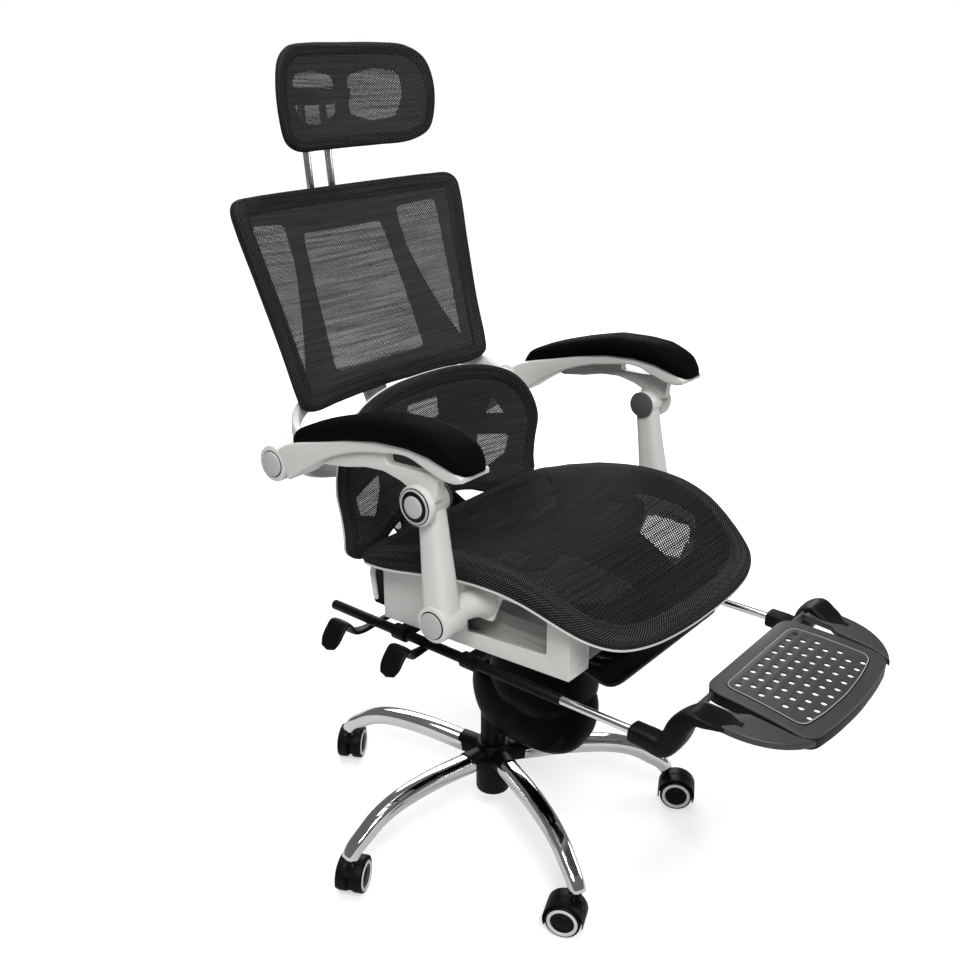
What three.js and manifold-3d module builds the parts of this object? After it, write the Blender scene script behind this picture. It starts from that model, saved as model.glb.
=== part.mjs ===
import * as THREE from 'three';
import { mergeVertices } from 'three/addons/utils/BufferGeometryUtils.js';
import Module from 'manifold-3d';

// Reclining mesh office chair with a pull-out footrest, in millimetres.
// +X is the sitter's left, -Y is forward, +Z is up and the floor is at z = 0.
// At rest the back is upright, the footrest is pulled out and the seat is low.

// Fits
const touchGap = 0.3;
const runGap = 0.3;
const pivotGap = 0.6;
const overrun = 6;
const halfShare = 0.5;

// The middle of the floor space, seen from the chair's middle plane and the zero of its depth
const standX = -10;
const standY = -70;

// Column and base
const columnY = 45;
const legCount = 5;
const legTurnShare = 27.2 / 360;
const legReach = 320;
const legCrest = 140;
const legHalfWidth = 15;
const legHalfHeight = 16;
const hubRadius = 30;
const hubBottom = 60;
const hubTop = 158;
const hubSleeveReach = 64;
const hubSleeveWall = 4;
const tubeRadius = 22;
const tubeBottom = 56;
const tubeTop = 385;
const pistonRadius = 14;
const pistonBottom = 300;

// Casters
const wheelRadius = 29;
const wheelWidth = 19;
const casterTrail = 20;
const webHalf = 4.5;
const axleRadius = 4;
const fenderGap = 1.4;
const fenderWall = 2.6;
const fenderHalf = 21;
const stemRadius = 5.5;
const socketRadius = 9.5;
const stemTop = 78;
const casterTurns = [120, 30, 25, 112, -62];

// Tilt mechanism under the seat
const panHalf = 85;
const panFront = -150;
const panRear = 172;
const panBottom = 446;
const panHeight = 30;
const collarRadius = 20;
const collarDrop = 20;
const coverFront = -160;
const coverRear = 74;
const coverHalf = 60;
const coverBottom = 200;
const coverShoulder = 330;
const sleeveWall = 2.5;
const boxFront = -152;
const boxRear = 28;
const boxHalf = 70;
const trayHalf = 150;
const trayFront = -262;
const trayThick = 6;
const trayLip = 16;
const yokeHalf = 186;
const yokeFront = 112;
const yokeRear = 142;
const yokeTop = 546;
const earInner = 62;
const earThick = 8;
const earRadius = 17;

// Recline pivot, and the armrest linkage, whose sides are parallel
const postFootY = -90;
const postFootZ = 565;
const postSlant = 24;
const postHeight = 172;
const armSpan = 284;
const pivotPin = 9;

// Armrests
const armInner = 252;
const armOuter = 311;
const postInner = 262;
const postOuter = 300;
const footRadius = 27;
const postNeck = 17;
const footBossRadius = 24;
const frontBossRadius = 29;
const rearBossRadius = 28;
const capRadius = 19;
const capThick = 3;
const webInner = 266;
const webOuter = 302;
const padHalf = 34;

// Seat
const seatHalf = 245;
const seatRear = 132;
const seatFront = -352;
const rimRear = 572;
const rimCrest = 610;
const rimFront = 556;
const crestY = -135;
const rimLip = 1.5;
const rimThick = 4;
const flareWidth = 52;
const flareDrop = 16;
const borderHeight = 28;
const lipWidth = 4;
const meshThick = 3;
const ringWidth = 30;
const ringHeight = 16;
const seatSag = 20;
const skirtX = 200;
const skirtWall = 4;
const skirtRear = 106;
const skirtFront = -246;
const skirtRearZ = 467;
const skirtFrontZ = 484;
const pontoonInner = 150;
const deckTop = 482;

// Footrest
const railX = 204;
const railZ = 454;
const railRadius = 8;
const railBore = 6.4;
const railRear = 215;
const railFront = -238;
const rodRadius = 6;
const rodRear = 96;
const rodFront = -376;
const padPivotY = -425;
const padPivotZ = 497;
const padRear = -412;
const padFront = -584;
const padRearHalf = 124;
const padFrontHalf = 134;
const padTop = 506;
const padThick = 14;
const padSkin = 5;
const padCorner = 26;
const padDroop = 16;
const holeRadius = 3.6;
const holeColumns = 7;
const holeRows = 5;
const trunnionRadius = 4;

// Levers
const leverZ = 426;
const leverPivotX = -88;
const heightLeverY = 40;
const tiltLeverY = 156;

// Back
const backLean = 20.2;
const panelBottomY = 229;
const panelBottomZ = 785;
const panelHeight = 334;
const panelTopHalf = 253;
const panelBottomHalf = 219;
const panelHollow = 50;
const panelBand = 9;
const panelRing = 18;
const lumbarY = 190;
const lumbarZ = 670;
const lumbarHalf = 250;
const lumbarHalfHeight = 108;
const lumbarHollow = 46;
const lumbarLean = 3;
const lumbarPivotY = 226;
const headAhead = -35;
const headRise = 177;
const headHalf = 167;
const headHalfHeight = 76;
const headHollow = 40;
const headLean = 4;
const postGap = 24;
const postRodRadius = 6;
const postRodLean = 6;
const postRodBehind = 27;
const postRodRise = 54;
const postRodTopRise = 172;
const postRodBottomRise = -20;
const headPivotRise = 176;
const headPivotBehind = 9;

const wasm = await Module();
wasm.setup();

const V = (x, y, z) => new THREE.Vector3(x, y, z);
const mid = (a, b) => (a + b) * halfShare;
const radians = THREE.MathUtils.degToRad;

// Solids and meshes

function solidOf(geometry) {
  const closed = geometry.index && !geometry.attributes.normal;
  const merged = closed ? geometry : mergeVertices(stripped(geometry));
  return new wasm.Manifold(new wasm.Mesh({
    numProp: 3,
    vertProperties: new Float32Array(merged.attributes.position.array),
    triVerts: new Uint32Array(merged.index.array),
  }));
}

function geometryOf(solid) {
  const mesh = solid.getMesh();
  const geometry = new THREE.BufferGeometry();
  geometry.setAttribute('position', new THREE.BufferAttribute(mesh.vertProperties, mesh.numProp));
  geometry.setIndex(new THREE.BufferAttribute(mesh.triVerts, 1));
  return geometry;
}

function joined(...geometries) {
  return geometryOf(geometries.map(solidOf).reduce((sum, solid) => sum.add(solid)));
}

function cut(geometry, ...cutters) {
  return geometryOf(cutters.map(solidOf).reduce((rest, cutter) => rest.subtract(cutter), solidOf(geometry)));
}

// A row of rings becomes a closed skin, with a fan over each end or the last ring joined to the first.
function skin(rings, looped = false) {
  const count = rings[0].length;
  const points = rings.flat();
  const faces = [];
  const bands = looped ? rings.length : rings.length - 1;
  for (let band = 0; band < bands; band++) {
    const next = (band + 1) % rings.length;
    for (let k = 0; k < count; k++) {
      const k2 = (k + 1) % count;
      const a = band * count + k;
      const b = band * count + k2;
      const c = next * count + k2;
      const d = next * count + k;
      faces.push(a, b, c, a, c, d);
    }
  }
  if (!looped) {
    capRing(points, faces, 0, count, true);
    capRing(points, faces, (rings.length - 1) * count, count, false);
  }
  const geometry = new THREE.BufferGeometry().setFromPoints(points);
  geometry.setIndex(faces);
  return facingOut(geometry);
}

function capRing(points, faces, first, count, reversed) {
  const centre = V(0, 0, 0);
  for (let k = 0; k < count; k++) centre.add(points[first + k]);
  const hub = points.push(centre.divideScalar(count)) - 1;
  for (let k = 0; k < count; k++) {
    const a = first + k;
    const b = first + (k + 1) % count;
    faces.push(...(reversed ? [hub, b, a] : [hub, a, b]));
  }
}

function facingOut(geometry) {
  const place = geometry.attributes.position;
  const index = geometry.index.array;
  const corner = [V(0, 0, 0), V(0, 0, 0), V(0, 0, 0)];
  let volume = 0;
  for (let i = 0; i < index.length; i += 3) {
    corner.forEach((point, k) => point.fromBufferAttribute(place, index[i + k]));
    volume += corner[0].dot(corner[1].cross(corner[2]));
  }
  if (volume < 0) geometry.setIndex(Array.from(index).reverse());
  return geometry;
}

function mirrored(geometry) {
  const twin = geometry.clone().scale(-1, 1, 1);
  if (!twin.index) twin.setIndex([...Array(twin.attributes.position.count).keys()]);
  return facingOut(twin);
}

function sided(geometry, side) {
  return side > 0 ? geometry : mirrored(geometry);
}

// Primitive forms set in place

function box(low, high) {
  const size = high.clone().sub(low);
  const centre = low.clone().add(high).multiplyScalar(halfShare);
  return new THREE.BoxGeometry(size.x, size.y, size.z).translate(centre.x, centre.y, centre.z);
}

function rod(start, end, radius, sides, endRadius = radius) {
  const along = end.clone().sub(start);
  const centre = start.clone().add(end).multiplyScalar(halfShare);
  const turn = new THREE.Quaternion().setFromUnitVectors(V(0, 1, 0), along.clone().normalize());
  return new THREE.CylinderGeometry(endRadius, radius, along.length(), sides)
    .applyQuaternion(turn)
    .translate(centre.x, centre.y, centre.z);
}

function crossRod(x1, x2, y, z, radius, sides) {
  return rod(V(x1, y, z), V(x2, y, z), radius, sides);
}

function shapeOf(points, holes) {
  const corners = points.map(([a, b]) => new THREE.Vector2(a, b));
  const shape = new THREE.Shape(THREE.ShapeUtils.isClockWise(corners) ? corners.reverse() : corners);
  shape.holes = holes.map((hole) => new THREE.Path(hole.map(([a, b]) => new THREE.Vector2(a, b))));
  return shape;
}

// A profile drawn in depth and height, as thick across the chair as from x1 to x2
function sidePlate(points, x1, x2, holes = []) {
  const plate = new THREE.ExtrudeGeometry(shapeOf(points, holes), { depth: x2 - x1, bevelEnabled: false });
  const turn = new THREE.Matrix4().makeBasis(V(0, 1, 0), V(0, 0, 1), V(1, 0, 0));
  return plate.applyMatrix4(turn).translate(x1, 0, 0);
}

function flatPlate(points, bottom, thickness, holes = []) {
  const plate = new THREE.ExtrudeGeometry(shapeOf(points, holes), { depth: thickness, bevelEnabled: false });
  return plate.translate(0, 0, bottom);
}

function oval(centre, across, up, halfAcross, halfUp, sides, square = 1) {
  const ring = [];
  for (let k = 0; k < sides; k++) {
    const angle = (k + halfShare) / sides * Math.PI * 2;
    const c = Math.sign(Math.cos(angle)) * Math.abs(Math.cos(angle)) ** square * halfAcross;
    const s = Math.sign(Math.sin(angle)) * Math.abs(Math.sin(angle)) ** square * halfUp;
    ring.push(centre.clone().addScaledVector(across, c).addScaledVector(up, s));
  }
  return ring;
}

// A bar along a path, with an oval or nearly square section that changes from stop to stop
function bar(stops, sides, square, across = V(1, 0, 0)) {
  const rings = stops.map((stop, k) => {
    const before = stops[Math.max(k - 1, 0)].at;
    const after = stops[Math.min(k + 1, stops.length - 1)].at;
    const along = after.clone().sub(before).normalize();
    const up = along.clone().cross(across).normalize();
    return oval(stop.at, across, up, stop.half, stop.thick * halfShare, sides, square);
  });
  return skin(rings);
}

// Outlines

function spline(points, count) {
  const curve = new THREE.CatmullRomCurve3(points.map(([a, b]) => V(a, b, 0)), true, 'centripetal');
  return curve.getSpacedPoints(count).slice(0, count).map((point) => [point.x, point.y]);
}

function mirroredOutline(half) {
  const left = half.slice(1, -1).reverse().map(([a, b]) => [-a, b]);
  return [...half, ...left];
}

function flippedOutline(outline) {
  return outline.map(([a, b]) => [-a, b]).reverse();
}

function inset(outline, distance) {
  const count = outline.length;
  let area = 0;
  outline.forEach(([x, y], k) => {
    const [x2, y2] = outline[(k + 1) % count];
    area += x * y2 - x2 * y;
  });
  const turn = Math.sign(area);
  return outline.map(([x, y], k) => {
    const [xa, ya] = outline[(k + count - 1) % count];
    const [xb, yb] = outline[(k + 1) % count];
    const length = Math.hypot(xb - xa, yb - ya);
    return [x - turn * distance * (yb - ya) / length, y + turn * distance * (xb - xa) / length];
  });
}

function shrunk(outline, share) {
  const count = outline.length;
  const centre = [0, 1].map((k) => outline.reduce((sum, point) => sum + point[k], 0) / count);
  return outline.map(([x, y]) => [centre[0] + (x - centre[0]) * share, centre[1] + (y - centre[1]) * share]);
}

function thinned(outline) {
  return outline.filter((point, k) => k % 2 === 0);
}

function roundedCorners(corners, radius, steps) {
  const outline = [];
  corners.forEach((corner, k) => {
    const here = new THREE.Vector2(...corner);
    const before = new THREE.Vector2(...corners[(k + corners.length - 1) % corners.length]).sub(here);
    const after = new THREE.Vector2(...corners[(k + 1) % corners.length]).sub(here);
    const start = here.clone().addScaledVector(before.normalize(), radius);
    const end = here.clone().addScaledVector(after.normalize(), radius);
    const curve = new THREE.QuadraticBezierCurve(start, here, end);
    curve.getPoints(steps).forEach((point) => outline.push([point.x, point.y]));
  });
  return outline;
}

// Long straight edges get more points, bowed by a hair, so that a bent plate follows its curve
const edgeBow = 0.03;

function divided(outline, step) {
  const points = [];
  outline.forEach(([x, y], k) => {
    const [x2, y2] = outline[(k + 1) % outline.length];
    const length = Math.hypot(x2 - x, y2 - y);
    const parts = Math.max(1, Math.round(length / step));
    for (let i = 0; i < parts; i++) {
      const share = i / parts;
      const bow = edgeBow * Math.sin(Math.PI * share) / length;
      points.push([x + (x2 - x) * share - (y2 - y) * bow, y + (y2 - y) * share + (x2 - x) * bow]);
    }
  });
  return points;
}

// A panel is an outline laid on a curved surface: place(a, b, lift) gives a point of it.

function row(outline, place, lift) {
  return outline.map(([a, b]) => place(a, b, typeof lift === 'number' ? lift : lift(a, b)));
}

function ringBody(sections, outline, place) {
  const rings = sections.map(([distance, lift]) => row(inset(outline, distance), place, lift));
  return skin(rings, true);
}

// The stretched mesh: a thin sheet whose hem wraps the frame that it hangs on
function meshSheet({ outline, place, foot, band, thick, lip, sag }) {
  const innerEdge = inset(outline, ringWidth);
  const dip = (share) => band - sag * (1 - share * share);
  const rings = [];
  sheetShares.forEach((share) => rings.push(row(shrunk(innerEdge, share), place, dip(share) - thick)));
  rings.push(row(inset(outline, ringWidth), place, band - thick));
  rings.push(row(inset(outline, lip), place, band - thick));
  rings.push(row(inset(outline, lip), place, foot));
  rings.push(row(inset(outline, 0), place, foot));
  rings.push(row(inset(outline, 0), place, mid(foot, band)));
  rings.push(row(inset(outline, lip * halfShare), place, band - thick * halfShare));
  rings.push(row(inset(outline, lip * 2), place, band));
  rings.push(row(innerEdge, place, band));
  [...sheetShares].reverse().forEach((share) => rings.push(row(shrunk(innerEdge, share), place, dip(share))));
  return skin(rings);
}

const sheetShares = [0.4, 0.8];

// A floor inside a rim: a sheet between two lifts, with windows cut square to the panel
function windowedSheet({ outline, windows, place, plane, lifts }) {
  const shares = [...sheetShares, 1];
  const under = shares.map((share) => row(shrunk(outline, share), place, lifts[0]));
  const over = shares.map((share) => row(shrunk(outline, share), place, lifts[1])).reverse();
  const cutters = windows.map((hole) => skin([row(hole, plane, -windowReach), row(hole, plane, windowReach)]));
  return cut(skin([...under, ...over]), ...cutters);
}

const windowReach = 90;

// A plate with windows, bent onto the panel's surface
function bentPlate(outline, windows, place, bottom, thickness, step) {
  const plate = flatPlate(divided(outline, step), bottom, thickness, windows.map((hole) => divided(hole, step)));
  const merged = mergeVertices(stripped(plate));
  const points = merged.attributes.position;
  for (let i = 0; i < points.count; i++) {
    const { x, y, z } = place(points.getX(i), points.getY(i), points.getZ(i));
    points.setXYZ(i, x, y, z);
  }
  return facingOut(merged);
}

function stripped(geometry) {
  const bare = geometry.clone();
  bare.deleteAttribute('normal');
  bare.deleteAttribute('uv');
  return bare;
}

// Base: five arched legs in a hub, and the gas column

const legPathShares = [
  [0.15, 0.96], [0.45, 1], [0.68, 0.96], [0.81, 0.865], [0.89, 0.745], [0.96, 0.63], [1, 0.5],
];
const legTaperShares = [1, 0.97, 0.91, 0.86, 0.82, 0.77, 0.74];
const legSides = 10;

function legForm(grown = 0) {
  const stops = legPathShares.map(([reach, height], k) => ({
    at: V(legReach * reach, 0, legCrest * height),
    half: legHalfWidth * legTaperShares[k] + grown,
    thick: (legHalfHeight * legTaperShares[k] + grown) * 2,
  }));
  return bar(stops, legSides, 1, V(0, 1, 0));
}

function leg() {
  const socket = rod(V(legReach, 0, 0), V(legReach, 0, stemTop + touchGap), stemRadius + runGap, legSides);
  return cut(legForm(), socket);
}

function legAngle(k) {
  return (legTurnShare + k / legCount) * Math.PI * 2;
}

function hub() {
  const rootHeight = legCrest * legPathShares[0][1];
  const sleeve = {
    half: legHalfWidth + hubSleeveWall,
    thick: (legHalfHeight + hubSleeveWall) * 2,
  };
  const pieces = [rod(V(0, 0, hubBottom), V(0, 0, hubTop), hubRadius, 18)];
  const cutters = [rod(V(0, 0, tubeBottom), V(0, 0, hubTop + overrun), tubeRadius + touchGap, 18)];
  for (let k = 0; k < legCount; k++) {
    const stops = [{ at: V(tubeRadius, 0, rootHeight), ...sleeve }, { at: V(hubSleeveReach, 0, rootHeight), ...sleeve }];
    pieces.push(bar(stops, legSides, 1, V(0, 1, 0)).rotateZ(legAngle(k)));
    cutters.push(legForm(touchGap).rotateZ(legAngle(k)));
  }
  return cut(joined(...pieces), ...cutters);
}

function gasTube() {
  const bore = rod(V(0, 0, mid(tubeBottom, pistonBottom)), V(0, 0, tubeTop + overrun), pistonRadius + runGap, 16);
  return cut(rod(V(0, 0, tubeBottom), V(0, 0, tubeTop), tubeRadius, 18), bore);
}

function gasPiston() {
  return rod(V(0, 0, pistonBottom), V(0, 0, panBottom - touchGap), pistonRadius, 16);
}

// Casters: the stem is at the origin, and the wheels trail along +Y

const hoodArcShares = [-0.06, 0.53];
const hoodSteps = 9;
const wheelSides = 14;
const wheelShares = [[0, 0.96], [0.12, 1], [0.78, 1], [1, 0.82], [0.88, 0.66]];

function casterHood() {
  const outer = wheelRadius + fenderGap + fenderWall;
  const arc = [];
  for (let k = 0; k <= hoodSteps; k++) {
    const share = hoodArcShares[0] + (hoodArcShares[1] - hoodArcShares[0]) * k / hoodSteps;
    const angle = share * Math.PI * 2;
    arc.push([casterTrail + outer * Math.cos(angle), wheelRadius + outer * Math.sin(angle)]);
  }
  const socketTop = wheelRadius * 2 + fenderGap;
  const body = joined(
    sidePlate(arc, -fenderHalf, fenderHalf),
    rod(V(0, 0, wheelRadius), V(0, 0, socketTop), socketRadius, 8),
    rod(V(0, 0, wheelRadius), V(0, 0, stemTop), stemRadius, 8),
  );
  const clear = wheelRadius + fenderGap;
  return cut(
    body,
    crossRod(webHalf, fenderHalf + overrun, casterTrail, wheelRadius, clear, 18),
    crossRod(-webHalf, -fenderHalf - overrun, casterTrail, wheelRadius, clear, 18),
    crossRod(-fenderHalf, fenderHalf, casterTrail, wheelRadius, axleRadius + runGap, 8),
  );
}

function casterWheels() {
  const start = webHalf + touchGap * 2;
  const wheel = (side) => {
    const rings = wheelShares.map(([along, size]) => {
      const centre = V(side * (start + wheelWidth * along), casterTrail, wheelRadius);
      return oval(centre, V(0, 1, 0), V(0, 0, 1), wheelRadius * size, wheelRadius * size, wheelSides);
    });
    return skin(rings);
  };
  const axle = crossRod(-start - axleRadius, start + axleRadius, casterTrail, wheelRadius, axleRadius, 8);
  return joined(wheel(1), wheel(-1), axle);
}

// Tilt mechanism: the pan, its arms to the footrest rails, and the ears of the two levers

const eyeRadius = 12.5;
const eyeHalf = 12;
const armBarHalf = 5;
const railArmYs = [-72, 66];
const leverEarInner = 8;
const leverEarThick = 4;
const leverEarHalf = 9;
const leverPin = 3;
const panCorner = 14;

function tiltMechanism() {
  const corners = [[panHalf, panFront], [panHalf, panRear], [-panHalf, panRear], [-panHalf, panFront]];
  const pieces = [flatPlate(roundedCorners(corners, panCorner, 2), panBottom, panHeight)];
  const cutters = [];
  pieces.push(rod(V(0, columnY, panBottom - collarDrop), V(0, columnY, panBottom + capThick), collarRadius, 16));
  cutters.push(rod(V(0, columnY, panBottom - collarDrop - overrun), V(0, columnY, panBottom), pistonRadius + touchGap, 16));
  for (const side of [-1, 1]) {
    for (const y of railArmYs) {
      const inner = side * (panHalf - overrun);
      const outer = side * railX;
      const low = V(Math.min(inner, outer), y - eyeHalf, railZ - armBarHalf);
      pieces.push(box(low, V(Math.max(inner, outer), y + eyeHalf, railZ + armBarHalf)));
      pieces.push(rod(V(outer, y - eyeHalf, railZ), V(outer, y + eyeHalf, railZ), eyeRadius, 12));
    }
    const bore = [V(side * railX, railFront, railZ), V(side * railX, railRear, railZ)];
    cutters.push(rod(...bore, railRadius + touchGap, 12));
  }
  for (const y of [heightLeverY, tiltLeverY]) {
    for (const side of [-1, 1]) {
      const near = y + side * leverEarInner;
      const far = near + side * leverEarThick;
      const low = V(leverPivotX - leverEarHalf, Math.min(near, far), leverZ - leverEarHalf);
      pieces.push(box(low, V(leverPivotX + leverEarHalf, Math.max(near, far), panBottom + overrun)));
    }
    const reach = leverEarInner + leverEarThick + overrun;
    cutters.push(rod(V(leverPivotX, y - reach, leverZ), V(leverPivotX, y + reach, leverZ), leverPin + runGap, 10));
  }
  return cut(joined(...pieces), ...cutters);
}

// The moulded cover: a bowl hung below a box, with a sleeve round the column

const bowlShares = [[0, 0.36], [0.04, 0.58], [0.16, 0.8], [0.38, 0.94], [0.65, 1], [0.86, 0.97], [1, 0.84]];
const boxShares = [[0, 0.84], [0.2, 1], [1, 1]];
const coverSides = 20;
const coverSquareShare = 0.75;

function coverStack(levels, bottom, top, front, rear, half) {
  const centreY = mid(front, rear);
  const rings = levels.map(([height, size]) => {
    const centre = V(0, centreY, bottom + (top - bottom) * height);
    const halfDepth = (rear - front) * halfShare * size;
    return oval(centre, V(1, 0, 0), V(0, 1, 0), half * size, halfDepth, coverSides, coverSquareShare);
  });
  return skin(rings);
}

function mechanismCover() {
  const top = panBottom - touchGap;
  const boxBottom = mid(coverBottom, coverShoulder) + collarDrop;
  const sleeve = tubeRadius + runGap * 4;
  const form = joined(
    coverStack(bowlShares, coverBottom, coverShoulder, coverFront, coverRear, coverHalf),
    coverStack(boxShares, boxBottom, top, boxFront, boxRear, boxHalf),
    rod(V(0, columnY, coverShoulder - collarDrop), V(0, columnY, top), sleeve + sleeveWall, 24),
  );
  return cut(form, rod(V(0, columnY, coverBottom - overrun), V(0, columnY, top + overrun), sleeve, 24));
}

const traySlotXs = [-96, -72, -48, 48, 72, 96];
const traySlotHalf = 4;
const traySlotShares = [0.42, 0.8];
const traySlotFan = 0.06;
const trayCorner = 34;

function frontTray() {
  const rear = panFront - touchGap;
  const corners = [[trayHalf, trayFront], [panHalf, rear], [-panHalf, rear], [-trayHalf, trayFront]];
  const outline = roundedCorners(corners, trayCorner, 5).map(([x, y]) => [x, Math.min(y, rear)]);
  const depth = rear - trayFront;
  const place = (x, y, lift) => {
    const share = (rear - y) / depth;
    return V(x, y, panBottom + lift + trayLip * (share * share));
  };
  const slots = traySlotXs.map((x) => traySlot(x, rear, depth));
  return bentPlate(outline, slots, place, 0, trayThick, depth / 3);
}

function traySlot(x, rear, depth) {
  const [near, far] = traySlotShares.map((share) => rear - depth * share + Math.abs(x) * traySlotFan);
  return [
    [x - traySlotHalf, near], [x, near + traySlotHalf], [x + traySlotHalf, near],
    [x + traySlotHalf, far], [x, far - traySlotHalf], [x - traySlotHalf, far],
  ];
}

// Rear yoke: the crosswise beam behind the seat that carries the back's hinge

const frontPivot = [postFootY + postSlant, postFootZ + postHeight];
const armDrop = 7;
const rearPivot = [frontPivot[0] + armSpan, frontPivot[1] - armDrop];
const reclinePivot = [postFootY + armSpan, postFootZ - armDrop];

function roundEar(foot1, foot2, [y, z], radius, x1, x2, startShare, endShare) {
  const outline = [foot1, foot2];
  for (let k = 0; k <= legSides; k++) {
    const angle = (startShare + (endShare - startShare) * k / legSides) * Math.PI * 2;
    outline.push([y + radius * Math.cos(angle), z + radius * Math.sin(angle)]);
  }
  return sidePlate(outline, x1, x2);
}

function rearYoke() {
  const bottom = panBottom + panHeight + touchGap;
  const corners = [[yokeFront, bottom], [yokeRear, bottom], [yokeRear, yokeTop], [yokeFront, yokeTop]];
  const pieces = [sidePlate(roundedCorners(corners, overrun, 3), -yokeHalf, yokeHalf)];
  for (const x of [earInner, -earInner - earThick]) {
    pieces.push(roundEar([yokeFront + overrun, yokeTop - overrun], [yokeRear - overrun, bottom + overrun],
      reclinePivot, earRadius, x, x + earThick, -0.16, 0.3));
  }
  return cut(joined(...pieces), crossRod(-yokeHalf, yokeHalf, ...reclinePivot, pivotPin + runGap, 12));
}

function reclinePin() {
  const reach = earInner + earThick + capThick;
  return crossRod(-reach, reach, ...reclinePivot, pivotPin, 12);
}

// Seat: its outline in plan, and the height of its rim along the depth

const seatHalfShares = [
  [0, 0], [0.5, 0], [0.8, 0.008], [0.92, 0.04], [0.965, 0.11], [0.99, 0.28], [1, 0.5], [1, 0.68],
  [0.985, 0.79], [0.94, 0.88], [0.84, 0.935], [0.65, 0.967], [0.39, 0.988], [0, 1],
];
const seatPoints = 34;
const seatLength = seatRear - seatFront;
const seatOutline = spline(
  mirroredOutline(seatHalfShares.map(([x, y]) => [x * seatHalf, seatRear - y * seatLength])),
  seatPoints,
);

function ease(share) {
  return (1 - Math.cos(Math.PI * THREE.MathUtils.clamp(share, 0, 1))) * halfShare;
}

function rimHeight(y) {
  if (y > crestY) return rimRear + (rimCrest - rimRear) * ease((seatRear - y) / (seatRear - crestY));
  const fall = (crestY - y) / (crestY - seatFront);
  return rimCrest - (rimCrest - rimFront) * ease(Math.max(fall, 0) ** 1.2);
}

function seatPlace(x, y, lift) {
  return V(x, y, rimHeight(y) + lift);
}

// The border stands highest beside the thighs and runs out thin at the front and at the rear
const borderSwells = [
  [0, 0.5], [0.066, 0.75], [0.149, 1.1], [0.27, 1.3], [0.4, 1.2], [0.58, 1], [0.727, 0.85], [0.83, 0.6],
  [0.913, 0.5], [1, 0.5],
];

function borderPlace(x, y, lift) {
  const share = THREE.MathUtils.clamp((seatRear - y) / seatLength, 0, 1);
  const next = Math.max(1, borderSwells.findIndex(([at]) => at >= share));
  const [at1, swell1] = borderSwells[next - 1];
  const [at2, swell2] = borderSwells[next];
  const swell = swell1 + (swell2 - swell1) * (share - at1) / (at2 - at1);
  const above = Math.max(lift - rimLip, 0);
  return V(x, y, rimHeight(y) + lift - above + above * swell);
}

const ringOuter = lipWidth + touchGap * 2;
const ringInner = ringOuter + ringWidth;

function flareLift(distance) {
  return rimLip - flareDrop * distance / flareWidth;
}

function seatFlare() {
  const stops = [0, ringOuter, ringInner, flareWidth];
  const top = stops.map((distance) => [distance, flareLift(distance)]);
  const bottom = [...stops].reverse().map((distance) => [distance, flareLift(distance) - rimThick]);
  return ringBody([...top, ...bottom], seatOutline, seatPlace);
}

const skirtSteps = 6;
const skirtTopLift = flareLift(flareWidth) + rimThick * halfShare + 1.5;
const skirtWindowShares = [[0, 0], [1, 0.16], [1, 1], [0.455, 1], [0.414, 0.8], [0.345, 0.43], [0, 0.4]];
const skirtWindowYs = [-62, -207];
const skirtWindowZs = [500, 575];
const slotYs = [-86, -190];
const slotZs = [491, 504];
const pontoonTop = 552;
const frontFaceTop = 566;
const stripX = 204;
const stripWidth = 6;
const stripPath = [[112, 568.5], [121, 568.5], [126, 540], [119, 498], [113, 498], [118, 540]];

function floorZ(y) {
  return skirtRearZ + (skirtFrontZ - skirtRearZ) * (skirtRear - y) / (skirtRear - skirtFront);
}

function skirtProfile() {
  const points = [[skirtFront, skirtFrontZ], [skirtRear, skirtRearZ]];
  for (let k = 0; k <= skirtSteps; k++) {
    const y = skirtRear + (skirtFront - skirtRear) * k / skirtSteps;
    points.push([y, rimHeight(y) + skirtTopLift]);
  }
  return points;
}

// One side of the shell: outer wall with its window, floor, inner wall with its slot, and both ends
function seatPontoon() {
  const window = skirtWindowShares.map(([y, z]) => [
    skirtWindowYs[0] + (skirtWindowYs[1] - skirtWindowYs[0]) * y,
    skirtWindowZs[0] + (skirtWindowZs[1] - skirtWindowZs[0]) * z,
  ]);
  const slot = [[slotYs[0], slotZs[0]], [slotYs[1], slotZs[0]], [slotYs[1], slotZs[1]], [slotYs[0], slotZs[1]]];
  const floor = [
    [skirtFront, skirtFrontZ], [skirtRear, skirtRearZ],
    [skirtRear, skirtRearZ + skirtWall], [skirtFront, skirtFrontZ + skirtWall],
  ];
  const inner = [
    [skirtFront, skirtFrontZ], [skirtRear, skirtRearZ], [skirtRear, pontoonTop], [skirtFront, frontFaceTop],
  ];
  return [
    sidePlate(skirtProfile(), skirtX - skirtWall, skirtX, [roundedCorners(window, overrun, 1)]),
    sidePlate(floor, pontoonInner, skirtX - skirtWall * halfShare),
    sidePlate(inner, pontoonInner, pontoonInner + skirtWall, [slot]),
    box(V(pontoonInner, skirtFront, skirtFrontZ), V(skirtX, skirtFront + skirtWall, frontFaceTop)),
    box(V(pontoonInner, skirtRear - skirtWall, skirtRearZ), V(skirtX, skirtRear, pontoonTop)),
    sidePlate(stripPath, stripX, stripX + stripWidth),
    crossRod(skirtX - skirtWall, postInner - touchGap * 2, postFootY, postFootZ, footBossRadius, 20),
  ];
}

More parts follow.
